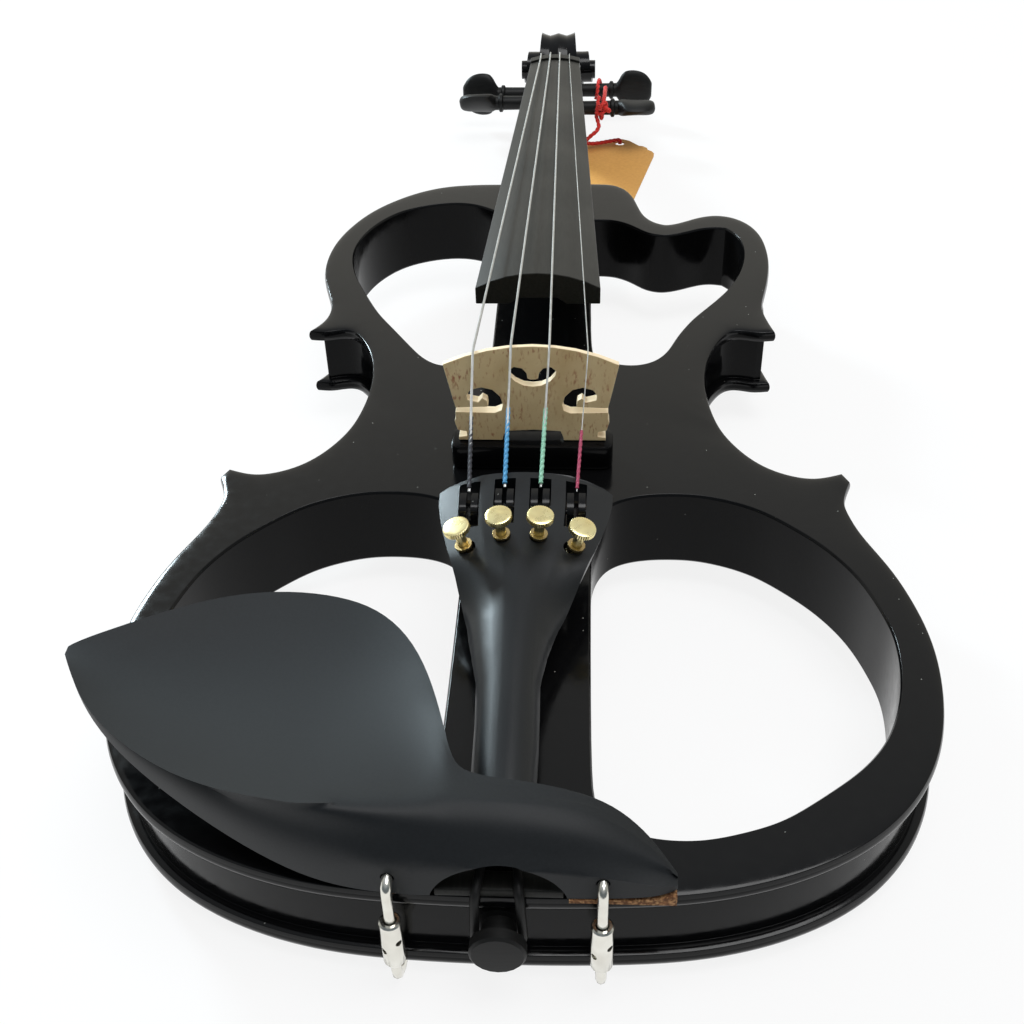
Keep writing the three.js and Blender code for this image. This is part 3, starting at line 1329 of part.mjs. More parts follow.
// The wire leaves each barrel, bends in under the edge of the back and joins the other side.
function makeFootBracket() {
  const corkLow = -gap - footCorkThickness
  const wireZ = corkLow - gap - rodRadius
  const innerY = -bridgeToTail + footReach
  const corner = 2 * rodRadius
  const leg = (x, inward) => [
    vector(x, clampY, barrelLowZ + rodInBarrel), vector(x, clampY, barrelLowZ - 2 * rodRadius),
    vector(x, clampY + rodRadius / 2, rodRadius), vector(x, clampY + 1.4 * rodRadius, -rodRadius / 3),
    vector(x, clampY + 3.2 * rodRadius, blend(0, wireZ, 0.7)),
    vector(x, clampY + 5 * rodRadius, wireZ), vector(x, innerY - corner, wireZ),
    vector(x + inward * corner * 0.3, innerY - corner * 0.3, wireZ),
    vector(x + inward * corner, innerY, wireZ)
  ]
  const wire = [...leg(clampLeftX, 1), ...leg(clampRightX, -1).reverse()]
  addPart('clamp_foot_bracket', tube(wire, rodRadius, 8), 'nickel')
  const cork = block(
    clampLeftX, clampRightX, innerY - footCorkWidth / 2, innerY + footCorkWidth / 2, corkLow, -gap
  )
  addPart('clamp_foot_cork', cork, 'cork')
}

// Electronics: a flush panel over a bay in the back.
const doorFrom = { x: bayFrom.x + doorMargin, y: bayFrom.y + doorMargin }
const doorTo = {
  x: doorFrom.x + batteryLength + doorSpareX, y: doorFrom.y + batteryWidth + doorSpareY
}
const controlY = (doorTo.y + bayTo.y) / 2 + controlRaise
const volumeX = bayFrom.x + wheelRadius + wheelMargin
const toneX = volumeX + wheelSpacing
const switchX = toneX + wheelSpacing - switchSetBack
const wheelZ = wheelRadius - wheelProud
const wellFrom = { x: doorTo.x + wellSetBack, y: bayFrom.y + wellMargin }
const wellTo = { x: bayTo.x - wellMargin, y: wellFrom.y + jackWellLength }
const outputJackX = wellFrom.x + outputJackRadius + outputJackMargin
const headphoneJackX = wellTo.x - headphoneJackRadius - headphoneJackMargin
const jackZ = panelThickness + gap + outputJackRadius

function makePanel() {
  let panel = toSolid(block(panelFrom.x, panelTo.x, panelFrom.y, panelTo.y, 0, panelThickness))
  const wellBox = block(
    wellFrom.x - jackWellWall, wellTo.x + jackWellWall / 2, wellFrom.y, wellTo.y + jackWellWall,
    0, jackWellDepth + jackWellWall
  )
  panel = panel.add(toSolid(wellBox))
  const cuts = [
    block(doorFrom.x, doorTo.x, doorFrom.y, doorTo.y, -overrun, panelThickness + overrun),
    block(
      wellFrom.x, wellTo.x - jackWellWall / 2, wellFrom.y + jackWellWall, wellTo.y, -overrun, jackWellDepth
    )
  ]
  for (const x of [volumeX, toneX]) {
    const halfChord = Math.sqrt(wheelRadius ** 2 - (wheelZ - panelThickness) ** 2) + gap
    cuts.push(block(
      x - halfChord, x + halfChord, controlY - wheelThickness / 2 - gap, controlY + wheelThickness / 2 + gap,
      -overrun, panelThickness + overrun
    ))
  }
  const slotHalf = (switchLength + switchTravel) / 2 + gap
  cuts.push(block(
    switchX - slotHalf, switchX + slotHalf,
    controlY - switchWidth / 2 - gap, controlY + switchWidth / 2 + gap,
    -overrun, panelThickness + overrun
  ))
  const jackHole = (x, bore) => (
    rod(bore + jackBushingWall + gap, 3 * jackWellWall).translate(x, wellTo.y + jackWellWall / 2, jackZ)
  )
  cuts.push(jackHole(outputJackX, outputJackBore), jackHole(headphoneJackX, headphoneJackBore))
  for (const cut of cuts) panel = panel.subtract(toSolid(cut))
  addPart('control_panel', panel, 'plastic')
}

function makeBatteryBay() {
  const door = block(
    doorFrom.x + doorClearance, doorTo.x - doorClearance,
    doorFrom.y + doorClearance, doorTo.y - doorClearance,
    0, panelThickness
  )
  addPart('battery_door', door, 'plastic')
  const fromX = doorFrom.x + batteryInset
  const fromY = doorFrom.y + doorClearance
  const lowZ = panelThickness + gap
  let cell = toSolid(block(
    fromX, fromX + batteryLength, fromY, fromY + batteryWidth, lowZ, lowZ + batteryHeight
  ))
  addPart('battery', cell, 'cell')
}

function makeWheel(name, x) {
  const outline = []
  for (let i = 0; i < 2 * wheelTeeth; i++) {
    const radius = wheelRadius - (i % 2) * wheelNotch
    const angle = full * (i + 0.5) / (2 * wheelTeeth)
    outline.push([radius * Math.cos(angle), radius * Math.sin(angle)])
  }
  const disc = toSolid(prism(flat(outline), -wheelThickness / 2, wheelThickness / 2))
  const axle = rod(wheelAxleRadius, wheelThickness + wheelAxleReach, 12).rotateX(Math.PI / 2)
    .translate(0, 0, wheelAxleReach / 2)
  const wheel = alongY(toGeometry(disc.add(toSolid(axle))))
  addPart(name, wheel.translate(x, controlY, wheelZ), 'plastic')
}

function makeSwitch() {
  const halfLength = switchLength / 2
  const knob = toSolid(block(
    -halfLength, halfLength, -switchWidth / 2, switchWidth / 2, -switchProud, panelThickness + 2 * gap
  ))
  const plate = toSolid(block(
    -halfLength - switchTravel, halfLength + switchTravel, -switchWidth, switchWidth,
    panelThickness + gap, panelThickness + gap + switchProud
  ))
  const slide = toGeometry(knob.add(plate))
  addPart('power_switch', slide.translate(switchX - switchTravel / 2, controlY, 0), 'plastic')
}

function makeJack(name, x, radius, bore, length) {
  const wall = jackWellWall + gap
  const bushing = bore + jackBushingWall
  const profile = flat([
    [bore, -jackNutThickness], [bushing + jackBushingWall, -jackNutThickness],
    [bushing + jackBushingWall, -gap], [bushing, -gap], [bushing, wall], [radius, wall], [radius, length],
    [0, length], [0, length - jackWellWall], [bore, length - jackWellWall], [bore, -jackNutThickness]
  ])
  addPart(name, new THREE.LatheGeometry(profile, 14).translate(x, wellTo.y, jackZ), 'nickel')
}

// Centre across, centre along, and size of each chip
const chipPlaces = [
  [outputJackX, wellFrom.y + jackWellLength / 3, powerChip],
  [headphoneJackX, wellFrom.y + jackWellLength / 2, audioChip]
]

function makeCircuitBoard() {
  const top = bayDepth - gap
  const low = top - boardThickness
  const strip = toSolid(block(
    bayFrom.x + gap, bayTo.x - gap, doorTo.y + boardMargin, bayTo.y - gap, low, top
  ))
  const wing = toSolid(block(
    doorTo.x + doorMargin, bayTo.x - gap, bayFrom.y + gap, bayTo.y - gap, low, top
  ))
  let board = strip.add(wing)
  for (const [x, y, { length, width }] of chipPlaces) {
    const chip = block(
      x - length / 2, x + length / 2, y - width / 2, y + width / 2, low - chipHeight, low + gap
    )
    board = board.add(toSolid(chip))
  }
  addPart('circuit_board', board, 'circuit')
}

// Hang tag and its thread, which is tied round the shafts of the two pegs on the right.
// Half outline: shares of the half width across and of the half width down from the tip.
const tagShares = [
  [0, 0], [0.2, 0.07], [0.52, 0.37], [0.62, 0.38], [0.74, 0.47], [0.79, 0.6], [0.9, 0.67], [0.98, 0.8],
  [1, 0.93]
]
const tagHoleShare = 0.3

function onTag(geometry) {
  return geometry.rotateZ(THREE.MathUtils.degToRad(tagTurn)).translate(tagX, tagY, tagZ)
}

function makeTag() {
  const side = tagShares.map(([across, down]) => [across * tagHalf, -down * tagHalf])
  const half = [...side, [tagHalf, -tagLength]]
  const outline = flat([...half.slice(1), ...mirrored(half)])
  const card = toSolid(prism(outline.reverse(), 0, tagThickness))
  const hole = rod(tagHoleRadius, 3 * tagThickness, 12).rotateX(Math.PI / 2)
  const cut = toSolid(hole.translate(0, -tagHoleShare * tagHalf, tagThickness / 2))
  addPart('hang_tag', onTag(toGeometry(card.subtract(cut))), 'card')
}

function shaftLoop(name, { from, to, fromTurn, turns }) {
  const steps = Math.round(10 * Math.abs(turns))
  const radius = pegRadius + 2 * gap + threadRadius
  const points = []
  for (let i = 0; i <= steps; i++) {
    const angle = full * (fromTurn + turns * i / steps)
    const x = pegCollarX - blend(from, to, i / steps)
    points.push(vector(x, pegY(name) + radius * Math.cos(angle), pegZ(name) + radius * Math.sin(angle)))
  }
  return points
}

function makeThread() {
  const high = shaftLoop('a', highLoop)
  const low = shaftLoop('e', lowLoop)
  const hole = vector(0, -tagHoleShare * tagHalf, 0)
  hole.applyAxisAngle(vector(0, 0, 1), THREE.MathUtils.degToRad(tagTurn)).add(vector(tagX, tagY, tagZ))
  const fall = low[low.length - 1]
  const drop = (across, along, down) => vector(
    blend(fall.x, hole.x, across), blend(fall.y, hole.y, along), blend(fall.z, hole.z, down)
  )
  const path = [
    fall, drop(0.1, -0.4, 0.25), drop(-0.3, -0.5, 0.5), drop(-0.45, 0, 0.75), drop(-0.1, 0.3, 0.85),
    drop(0.6, 0.7, 0.86), drop(1, 1, 0.9), drop(1, 1, 1)
  ]
  const curve = new THREE.CatmullRomCurve3(path, false, 'centripetal')
  const fallen = curve.getPoints(2 * path.length).slice(1)
  addPart('tag_thread', tube([...high, ...low, ...fallen], threadRadius, 6), 'thread')
}

makeBody()
makeNeck()
makeFingerboard()
makeNut()
makePickup()
makeBridge()
makeTailpiece()
const windingGaps = stringNames.map((name) => {
  makeLever(name)
  makeBushing(name)
  makeScrew(name)
  makePeg(name)
  return makeString(name)
})
console.log(`least gap in a peg winding: ${Math.min(...windingGaps).toFixed(2)} mm`)
makeTailgut()
makeEndButton()
makeSaddle()
makeChinrest()
makeHook('clamp_hook_left', clampLeftX)
makeHook('clamp_hook_right', clampRightX)
makeBarrel('clamp_barrel_left', clampLeftX)
makeBarrel('clamp_barrel_right', clampRightX)
makeFootBracket()
makePanel()
makeBatteryBay()
makeWheel('volume_wheel', volumeX)
makeWheel('tone_wheel', toneX)
makeSwitch()
makeJack('output_jack', outputJackX, outputJackRadius, outputJackBore, outputJackLength)
makeJack('headphone_jack', headphoneJackX, headphoneJackRadius, headphoneJackBore, headphoneJackLength)
makeCircuitBoard()
makeTag()
makeThread()

export default parts
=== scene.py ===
# %% [markdown]
# # An electric violin, dressed for its picture
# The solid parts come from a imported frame. This script copies the ones that need a softer surface, makes
# the thread and the screws anew, and gives every piece a finish built from shader nodes. All pieces keep
# the frame's places. The tailpiece, the corks under the chinrest and the tag are corrected a little, each
# where it is dressed. A length is in metres unless its line says mm or multiplies it by MM.

import json
import math

import bmesh
import bpy
from mathutils import Matrix, Vector

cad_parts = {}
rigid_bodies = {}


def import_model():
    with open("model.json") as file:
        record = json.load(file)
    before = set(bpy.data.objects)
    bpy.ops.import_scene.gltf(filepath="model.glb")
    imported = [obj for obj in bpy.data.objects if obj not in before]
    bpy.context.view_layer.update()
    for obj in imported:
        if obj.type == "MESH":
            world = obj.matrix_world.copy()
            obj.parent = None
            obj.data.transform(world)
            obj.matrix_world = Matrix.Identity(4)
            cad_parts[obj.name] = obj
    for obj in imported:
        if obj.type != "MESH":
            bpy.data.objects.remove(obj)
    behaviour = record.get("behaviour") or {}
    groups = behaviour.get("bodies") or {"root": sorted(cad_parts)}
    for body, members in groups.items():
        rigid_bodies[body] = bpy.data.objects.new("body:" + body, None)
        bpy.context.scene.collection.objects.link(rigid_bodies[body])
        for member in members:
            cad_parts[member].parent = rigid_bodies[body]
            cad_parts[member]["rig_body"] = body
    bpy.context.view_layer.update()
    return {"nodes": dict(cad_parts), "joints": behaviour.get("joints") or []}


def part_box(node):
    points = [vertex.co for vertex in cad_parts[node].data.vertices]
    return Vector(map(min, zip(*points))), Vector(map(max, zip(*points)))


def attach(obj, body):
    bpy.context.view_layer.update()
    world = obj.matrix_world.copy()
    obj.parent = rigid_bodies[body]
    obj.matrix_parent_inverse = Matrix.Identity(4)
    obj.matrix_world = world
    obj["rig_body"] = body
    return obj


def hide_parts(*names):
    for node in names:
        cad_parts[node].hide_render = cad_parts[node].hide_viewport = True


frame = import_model()
nodes = frame["nodes"]
joint_of = {joint["name"]: joint for joint in frame["joints"]}
MM = 0.001
scene = bpy.context.scene
scene.view_settings.view_transform = "Standard"

# %% [markdown]
# ## The camera
# The picture was taken from low over the tail, looking along the neck. The camera's place and turn were
# worked out from points whose real places are known, so the render and the picture share one view.

# %% The camera
lens_length = 47.03
sensor_width = 36
camera_place = Vector((15.42, -334.26, 270.19)) * MM
camera_yaw, camera_pitch, camera_roll = -0.0667, -0.669, -0.0323


def make_camera():
    forward = Vector((
        math.sin(camera_yaw) * math.cos(camera_pitch),
        math.cos(camera_yaw) * math.cos(camera_pitch),
        math.sin(camera_pitch),
    ))
    level = Vector((math.cos(camera_yaw), -math.sin(camera_yaw), 0))
    rise = level.cross(forward)
    across = math.cos(camera_roll) * level + math.sin(camera_roll) * rise
    upward = math.cos(camera_roll) * rise - math.sin(camera_roll) * level
    turned = Matrix((across, upward, -forward)).transposed().to_4x4()
    data = bpy.data.cameras.new("camera")
    data.lens = lens_length
    data.sensor_width = sensor_width
    camera = bpy.data.objects.new("camera", data)
    camera.matrix_world = Matrix.Translation(camera_place) @ turned
    scene.collection.objects.link(camera)
    scene.camera = camera


make_camera()

# %% [markdown]
# ## Shared effects
# Real surfaces are never one flat colour. Each effect that several finishes need, such as dust, grain or
# wear, is a node group with named inputs, built once and placed in each material with its own values.


# %% Node helpers
def new_group(name, inputs, outputs):
    group = bpy.data.node_groups.new(name, "ShaderNodeTree")
    for label, kind, value in inputs:
        socket = group.interface.new_socket(label, in_out="INPUT", socket_type=kind)
        if value is not None:
            socket.default_value = value
    for label, kind in outputs:
        group.interface.new_socket(label, in_out="OUTPUT", socket_type=kind)
    return group, group.nodes.new("NodeGroupInput").outputs, group.nodes.new("NodeGroupOutput").inputs


def add_node(tree, kind, links=None, **settings):
    node = tree.nodes.new(kind)
    for name, value in settings.items():
        setattr(node, name, value)
    for name, value in (links or {}).items():
        if isinstance(value, bpy.types.NodeSocket):
            tree.links.new(value, node.inputs[name])
        else:
            node.inputs[name].default_value = value
    return node


def object_place(tree, stretch=(1, 1, 1), turn=(0, 0, 0)):
    place = add_node(tree, "ShaderNodeTexCoord").outputs["Object"]
    links = {"Vector": place, "Scale": stretch, "Rotation": turn}
    return add_node(tree, "ShaderNodeMapping", links).outputs["Vector"]


# %% [markdown]
# ### Dust
# Fine specks lie on the lacquer in the picture. A cell pattern gives one point in each cell, and only the
# cells whose own random colour is low enough keep their speck, so Share is the share of cells with one.


# %% Dust
def make_dust():
    inputs = [
        ("Vector", "NodeSocketVector", None),
        ("Scale", "NodeSocketFloat", 300.0),
        ("Size", "NodeSocketFloat", 0.06),
        ("Share", "NodeSocketFloat", 0.2),
    ]
    group, given, made = new_group("dust specks", inputs, [("Mask", "NodeSocketFloat")])
    cells = add_node(group, "ShaderNodeTexVoronoi", {"Vector": given["Vector"], "Scale": given["Scale"]})
    speck = add_node(
        group, "ShaderNodeMath", {0: cells.outputs["Distance"], 1: given["Size"]}, operation="LESS_THAN"
    )
    parted = add_node(group, "ShaderNodeSeparateColor", {"Color": cells.outputs["Color"]})
    kept = add_node(
        group, "ShaderNodeMath", {0: parted.outputs["Red"], 1: given["Share"]}, operation="LESS_THAN"
    )
    both = add_node(
        group, "ShaderNodeMath", {0: speck.outputs[0], 1: kept.outputs[0]}, operation="MULTIPLY"
    )
    group.links.new(both.outputs[0], made["Mask"])
    return group


dust_group = make_dust()

# %% [markdown]
# ### Uneven
# One noise serves for tone, roughness and bump: it comes out as a value between Low and High, and as a
# normal whose strength is an input.


# %% Uneven
pattern_low, pattern_high = 0.3, 0.7  # the range that holds nearly all of the noise


def make_uneven():
    inputs = [
        ("Vector", "NodeSocketVector", None),
        ("Scale", "NodeSocketFloat", 60.0),
        ("Detail", "NodeSocketFloat", 3.0),
        ("Low", "NodeSocketFloat", 0.0),
        ("High", "NodeSocketFloat", 1.0),
        ("Bump", "NodeSocketFloat", 0.1),
        ("Depth", "NodeSocketFloat", 0.0001),
    ]
    outputs = [("Value", "NodeSocketFloat"), ("Normal", "NodeSocketVector")]
    group, given, made = new_group("uneven", inputs, outputs)
    links = {"Vector": given["Vector"], "Scale": given["Scale"], "Detail": given["Detail"]}
    pattern = add_node(group, "ShaderNodeTexNoise", links).outputs["Fac"]
    links = {"Value": pattern, "From Min": pattern_low, "From Max": pattern_high}
    links.update({"To Min": given["Low"], "To Max": given["High"]})
    value = add_node(group, "ShaderNodeMapRange", links)
    links = {"Height": pattern, "Strength": given["Bump"], "Distance": given["Depth"]}
    bump = add_node(group, "ShaderNodeBump", links)
    group.links.new(value.outputs["Result"], made["Value"])
    group.links.new(bump.outputs["Normal"], made["Normal"])
    return group


uneven_group = make_uneven()

# %% [markdown]
# ## Finishes
# A finish is one material. The helper makes the shader, and each finish then links what changes over its
# surface: tone, roughness or normal. What stays the same is set on the shader's own socket.


# %% Start a finish
def start_finish(name, color, roughness, metallic=0.0, **fixed):
    material = bpy.data.materials.new(name)
    material.use_nodes = True
    shader = material.node_tree.nodes["Principled BSDF"]
    shader.inputs["Base Color"].default_value = (*color, 1)
    shader.inputs["Roughness"].default_value = roughness
    shader.inputs["Metallic"].default_value = metallic
    for label, value in fixed.items():
        shader.inputs[label.replace("_", " ")].default_value = value
    return material, material.node_tree, shader


def add_uneven(tree, place, **values):
    node = add_node(tree, "ShaderNodeGroup", node_tree=uneven_group)
    tree.links.new(place, node.inputs["Vector"])
    for label, value in values.items():
        node.inputs[label].default_value = value
    return node


def mix_colors(tree, share, dark, light):
    node = add_node(tree, "ShaderNodeMix", data_type="RGBA")
    tree.links.new(share, node.inputs["Factor"])
    for socket, value in ((node.inputs[6], dark), (node.inputs[7], light)):
        if isinstance(value, bpy.types.NodeSocket):
            tree.links.new(value, socket)
        else:
            socket.default_value = (*value, 1)
    return node.outputs[2]


# %% [markdown]
# ### Gloss lacquer
# Black lacquer hardly shows a colour of its own: what the eye sees is the room in it. So the colour is
# almost black, the roughness is low and a little uneven, and dust breaks up the mirror. The walls get a
# copy of it that shines less when seen straight on: painted shade, which makes them darker than the faces.


# %% Gloss lacquer
black, speck = (0.0035, 0.0035, 0.0038), (0.22, 0.22, 0.2)
film_rough = 0.1, 0.2
film_depth = 0.12 * MM


def make_lacquer(name, shine, dust_share):
    material, tree, shader = start_finish(name, black, film_rough[0], Specular_IOR_Level=shine)
    place = object_place(tree)
    coat = {"Scale": 300.0, "Detail": 2.0, "Low": film_rough[0], "High": film_rough[1]}
    film = add_uneven(tree, place, **coat, Bump=0.12, Depth=film_depth)
    dust = add_node(tree, "ShaderNodeGroup", node_tree=dust_group)
    tree.links.new(place, dust.inputs["Vector"])
    for label, value in (("Scale", 260.0), ("Size", 0.05), ("Share", dust_share)):
        dust.inputs[label].default_value = value
    mask = dust.outputs["Mask"]
    color = mix_colors(tree, mask, black, speck)
    rough = add_node(
        tree, "ShaderNodeMath", {0: film.outputs["Value"], 1: mask}, operation="MAXIMUM", use_clamp=True
    )
    tree.links.new(color, shader.inputs["Base Color"])
    tree.links.new(rough.outputs[0], shader.inputs["Roughness"])
    tree.links.new(film.outputs["Normal"], shader.inputs["Normal"])
    return material


lacquer = make_lacquer("gloss lacquer", 0.27, 0.4)
# A copy that shines less: painted shade on the walls and on the pickup bar.
shaded_wall_lacquer = make_lacquer("gloss lacquer with painted shade", 0.11, 0.1)

# %% [markdown]
# ### Matte and satin blacks
# The chinrest, tailpiece, fingerboard, pegs and panel are matte to different degrees. Each has a faint tone
# change and a fine bump, and the ones that are wood have it drawn out along the grain.


# %% Dark satin finishes
dark_depth = 0.1 * MM
handling_scale = 22.0


def make_dark(name, dark, light, rough, stretch, scale, bump, shine):
    material, tree, shader = start_finish(name, dark, rough[0], Specular_IOR_Level=shine)
    grain = {"Scale": scale, "Detail": 5.0, "Low": 0.0, "High": 1.0, "Bump": bump, "Depth": dark_depth}
    tone = add_uneven(tree, object_place(tree, stretch), **grain)
    sheen = add_uneven(
        tree, object_place(tree), Scale=handling_scale, Detail=2.0, Low=rough[0], High=rough[1]
    )
    color = mix_colors(tree, tone.outputs["Value"], dark, light)
    tree.links.new(color, shader.inputs["Base Color"])
    tree.links.new(sheen.outputs["Value"], shader.inputs["Roughness"])
    tree.links.new(tone.outputs["Normal"], shader.inputs["Normal"])
    return material


even, along_neck, along_shaft = (1, 1, 1), (1, 0.06, 1), (0.1, 1, 1)
matte_black = make_dark(
    "matte black", (0.0065, 0.008, 0.0095), (0.0088, 0.0106, 0.0124), rough=(0.48, 0.56),
    stretch=even, scale=1400.0, bump=0.1, shine=0.28,
)
satin_black = make_dark(
    "satin black", (0.005, 0.0062, 0.0075), (0.007, 0.0084, 0.01), rough=(0.28, 0.35),
    stretch=even, scale=2200.0, bump=0.22, shine=0.4,
)
ebony = make_dark(
    "dyed ebony", (0.01, 0.01, 0.0085), (0.018, 0.018, 0.0152), rough=(0.36, 0.46),
    stretch=along_neck, scale=1500.0, bump=0.1, shine=0.22,
)
peg_black = make_dark(
    "peg black", (0.006, 0.006, 0.006), (0.011, 0.011, 0.0105), rough=(0.42, 0.52),
    stretch=along_shaft, scale=1300.0, bump=0.12, shine=0.22,
)
panel_plastic = make_dark(
    "panel plastic", (0.014, 0.014, 0.014), (0.022, 0.022, 0.022), rough=(0.45, 0.55),
    stretch=even, scale=2200.0, bump=0.35, shine=0.3,
)

# %% [markdown]
# ### Maple
# The bridge is quarter-cut maple: a tan face with short slanting flecks, and much paler wood where it was
# cut through. The flecks are a noise stretched along a slant, and the pale cuts are found from the way
# the surface faces, since the two faces look along the strings and the cuts don't.


# %% Maple
face, soft = (0.63, 0.44, 0.21), (0.8, 0.62, 0.34)
fleck, cut = (0.44, 0.16, 0.07), (0.93, 0.76, 0.51)
fleck_slant = math.radians(28)
fleck_stretch = (1, 0.35, 0.36)
fleck_from, fleck_full = 0.56, 0.7
cut_from, cut_full = 0.85, 0.6


def make_maple():
    material, tree, shader = start_finish("bare maple", face, 0.5)
    broad = add_uneven(tree, object_place(tree), Scale=70.0, Detail=4.0, Low=0.0, High=1.0, Bump=0.05)
    slant = object_place(tree, fleck_stretch, (0, fleck_slant, 0))
    streaks = add_node(tree, "ShaderNodeTexNoise", {"Vector": slant, "Scale": 1250.0, "Detail": 2.0})
    fleck_mask = add_node(
        tree, "ShaderNodeMapRange",
        {"Value": streaks.outputs["Fac"], "From Min": fleck_from, "From Max": fleck_full},
    )
    patches = add_uneven(tree, object_place(tree), Scale=180.0, Detail=1.0, Low=0.15, High=1.0)
    fewer = add_node(
        tree, "ShaderNodeMath", {0: fleck_mask.outputs[0], 1: patches.outputs["Value"]}, operation="MULTIPLY"
    )
    wood = mix_colors(tree, broad.outputs["Value"], face, soft)
    flecked = mix_colors(tree, fewer.outputs[0], wood, fleck)
    own_normal = add_node(tree, "ShaderNodeTexCoord").outputs["Normal"]
    facing = add_node(tree, "ShaderNodeSeparateXYZ", {"Vector": own_normal})
    flatness = add_node(tree, "ShaderNodeMath", {0: facing.outputs["Y"]}, operation="ABSOLUTE")
    is_cut = add_node(
        tree, "ShaderNodeMapRange",
        {"Value": flatness.outputs[0], "From Min": cut_from, "From Max": cut_full},
    )
    tree.links.new(mix_colors(tree, is_cut.outputs[0], flecked, cut), shader.inputs["Base Color"])
    tree.links.new(broad.outputs["Normal"], shader.inputs["Normal"])
    return material


maple = make_maple()


# %% [markdown]
# ### Metals
# Gold plate, nickel plate and steel are one recipe: full metallic, a tint, and a roughness that varies
# with handling.


# %% Metals
tone_share = 0.4
wear_bump = 0.03


def make_metal(name, tint, worn_tint, rough, scale):
    material, tree, shader = start_finish(name, tint, rough[0], metallic=1.0)
    handled = {"Scale": scale, "Detail": 4.0, "Low": rough[0], "High": rough[1], "Bump": wear_bump}
    wear = add_uneven(tree, object_place(tree), **handled)
    tone = add_uneven(tree, object_place(tree), Scale=scale * tone_share, Detail=2.0, Low=0.0, High=1.0)
    tree.links.new(mix_colors(tree, tone.outputs["Value"], tint, worn_tint), shader.inputs["Base Color"])
    tree.links.new(wear.outputs["Value"], shader.inputs["Roughness"])
    tree.links.new(wear.outputs["Normal"], shader.inputs["Normal"])
    return material


gold = make_metal("gold plate", (0.96, 0.86, 0.47), (0.92, 0.77, 0.38), (0.24, 0.36), 500.0)
# The tuner bushings get a darker, browner copy of the gold.
darker_gold = make_metal("darker gold plate", (0.62, 0.47, 0.22), (0.5, 0.36, 0.16), (0.2, 0.34), 500.0)
nickel = make_metal("nickel plate", (0.86, 0.85, 0.78), (0.74, 0.72, 0.65), (0.12, 0.26), 420.0)
steel = make_metal("string steel", (0.66, 0.67, 0.66), (0.52, 0.53, 0.52), (0.3, 0.42), 700.0)


# %% [markdown]
# ### Cork, card, thread and silk
# Cork is pressed grains: a cell pattern gives each grain its own tone and leaves dark gaps between them.
# Card is fibres. Thread and silk get their twist from their shape, and only a fine fuzz from the finish.


# %% Cork
cork_gap, cork_dark, cork_light = (0.12, 0.045, 0.015), (0.27, 0.115, 0.04), (0.55, 0.31, 0.14)


def make_cork():
    material, tree, shader = start_finish("pressed cork", cork_dark, 0.9)
    place = object_place(tree)
    cells = add_node(tree, "ShaderNodeTexVoronoi", {"Vector": place, "Scale": 900.0})
    parted = add_node(tree, "ShaderNodeSeparateColor", {"Color": cells.outputs["Color"]})
    grain = mix_colors(tree, parted.outputs["Green"], cork_dark, cork_light)
    gaps = add_uneven(tree, place, Scale=1400.0, Detail=3.0, Low=-0.4, High=1.3, Bump=0.6, Depth=0.0003)
    color = mix_colors(tree, gaps.outputs["Value"], cork_gap, grain)
    tree.links.new(color, shader.inputs["Base Color"])
    tree.links.new(gaps.outputs["Normal"], shader.inputs["Normal"])
    return material


cork = make_cork()


# %% Card, thread and silk
def make_fibre(name, dark, light, rough, scale, bump, **fixed):
    material, tree, shader = start_finish(name, dark, rough, **fixed)
    fibres = add_uneven(tree, object_place(tree), Scale=scale, Detail=6.0, Low=0.0, High=1.0, Bump=bump)
    tree.links.new(mix_colors(tree, fibres.outputs["Value"], dark, light), shader.inputs["Base Color"])
    tree.links.new(fibres.outputs["Normal"], shader.inputs["Normal"])
    return material


card = make_fibre("tan card", (0.68, 0.33, 0.075), (0.76, 0.4, 0.1), 0.6, 700.0, 0.1)
yarn_red = make_fibre(
    "red yarn", (0.66, 0.012, 0.01), (0.88, 0.05, 0.035), 0.8, 2500.0, 0.5, Sheen_Weight=0.3
)
silk_finishes = {
    "g": make_fibre("dark silk", (0.008, 0.009, 0.013), (0.06, 0.06, 0.075), 0.55, 2600.0, 0.4),
    "d": make_fibre("blue silk", (0.03, 0.2, 0.45), (0.1, 0.42, 0.72), 0.55, 2600.0, 0.4),
    "a": make_fibre("mint silk", (0.16, 0.44, 0.29), (0.4, 0.72, 0.54), 0.55, 2600.0, 0.4),
    "e": make_fibre("red silk", (0.3, 0.02, 0.065), (0.56, 0.08, 0.17), 0.55, 2600.0, 0.4),
}
circuit = make_fibre("circuit board", (0.008, 0.075, 0.028), (0.016, 0.12, 0.045), 0.4, 350.0, 0.05)
cell_case = make_fibre("battery case", (0.035, 0.038, 0.043), (0.055, 0.06, 0.066), 0.35, 200.0, 0.03)

# %% [markdown]
# ## Dressing the frame's solids
# A solid arrives as loose triangles. A copy is merged, its flat triangles are joined into larger faces,
# and the edges that stay sharp are marked by their angle. A bevel then catches the light along them, and
# a subdivision rounds the pieces that are carved or moulded. The copy takes the solid's place.


# %% Dress a node
merge_distance = 0.002 * MM
joined_angle, joined_skew = math.radians(30), math.radians(50)
wall_lean = 0.35  # a face whose normal rises less than this is a wall


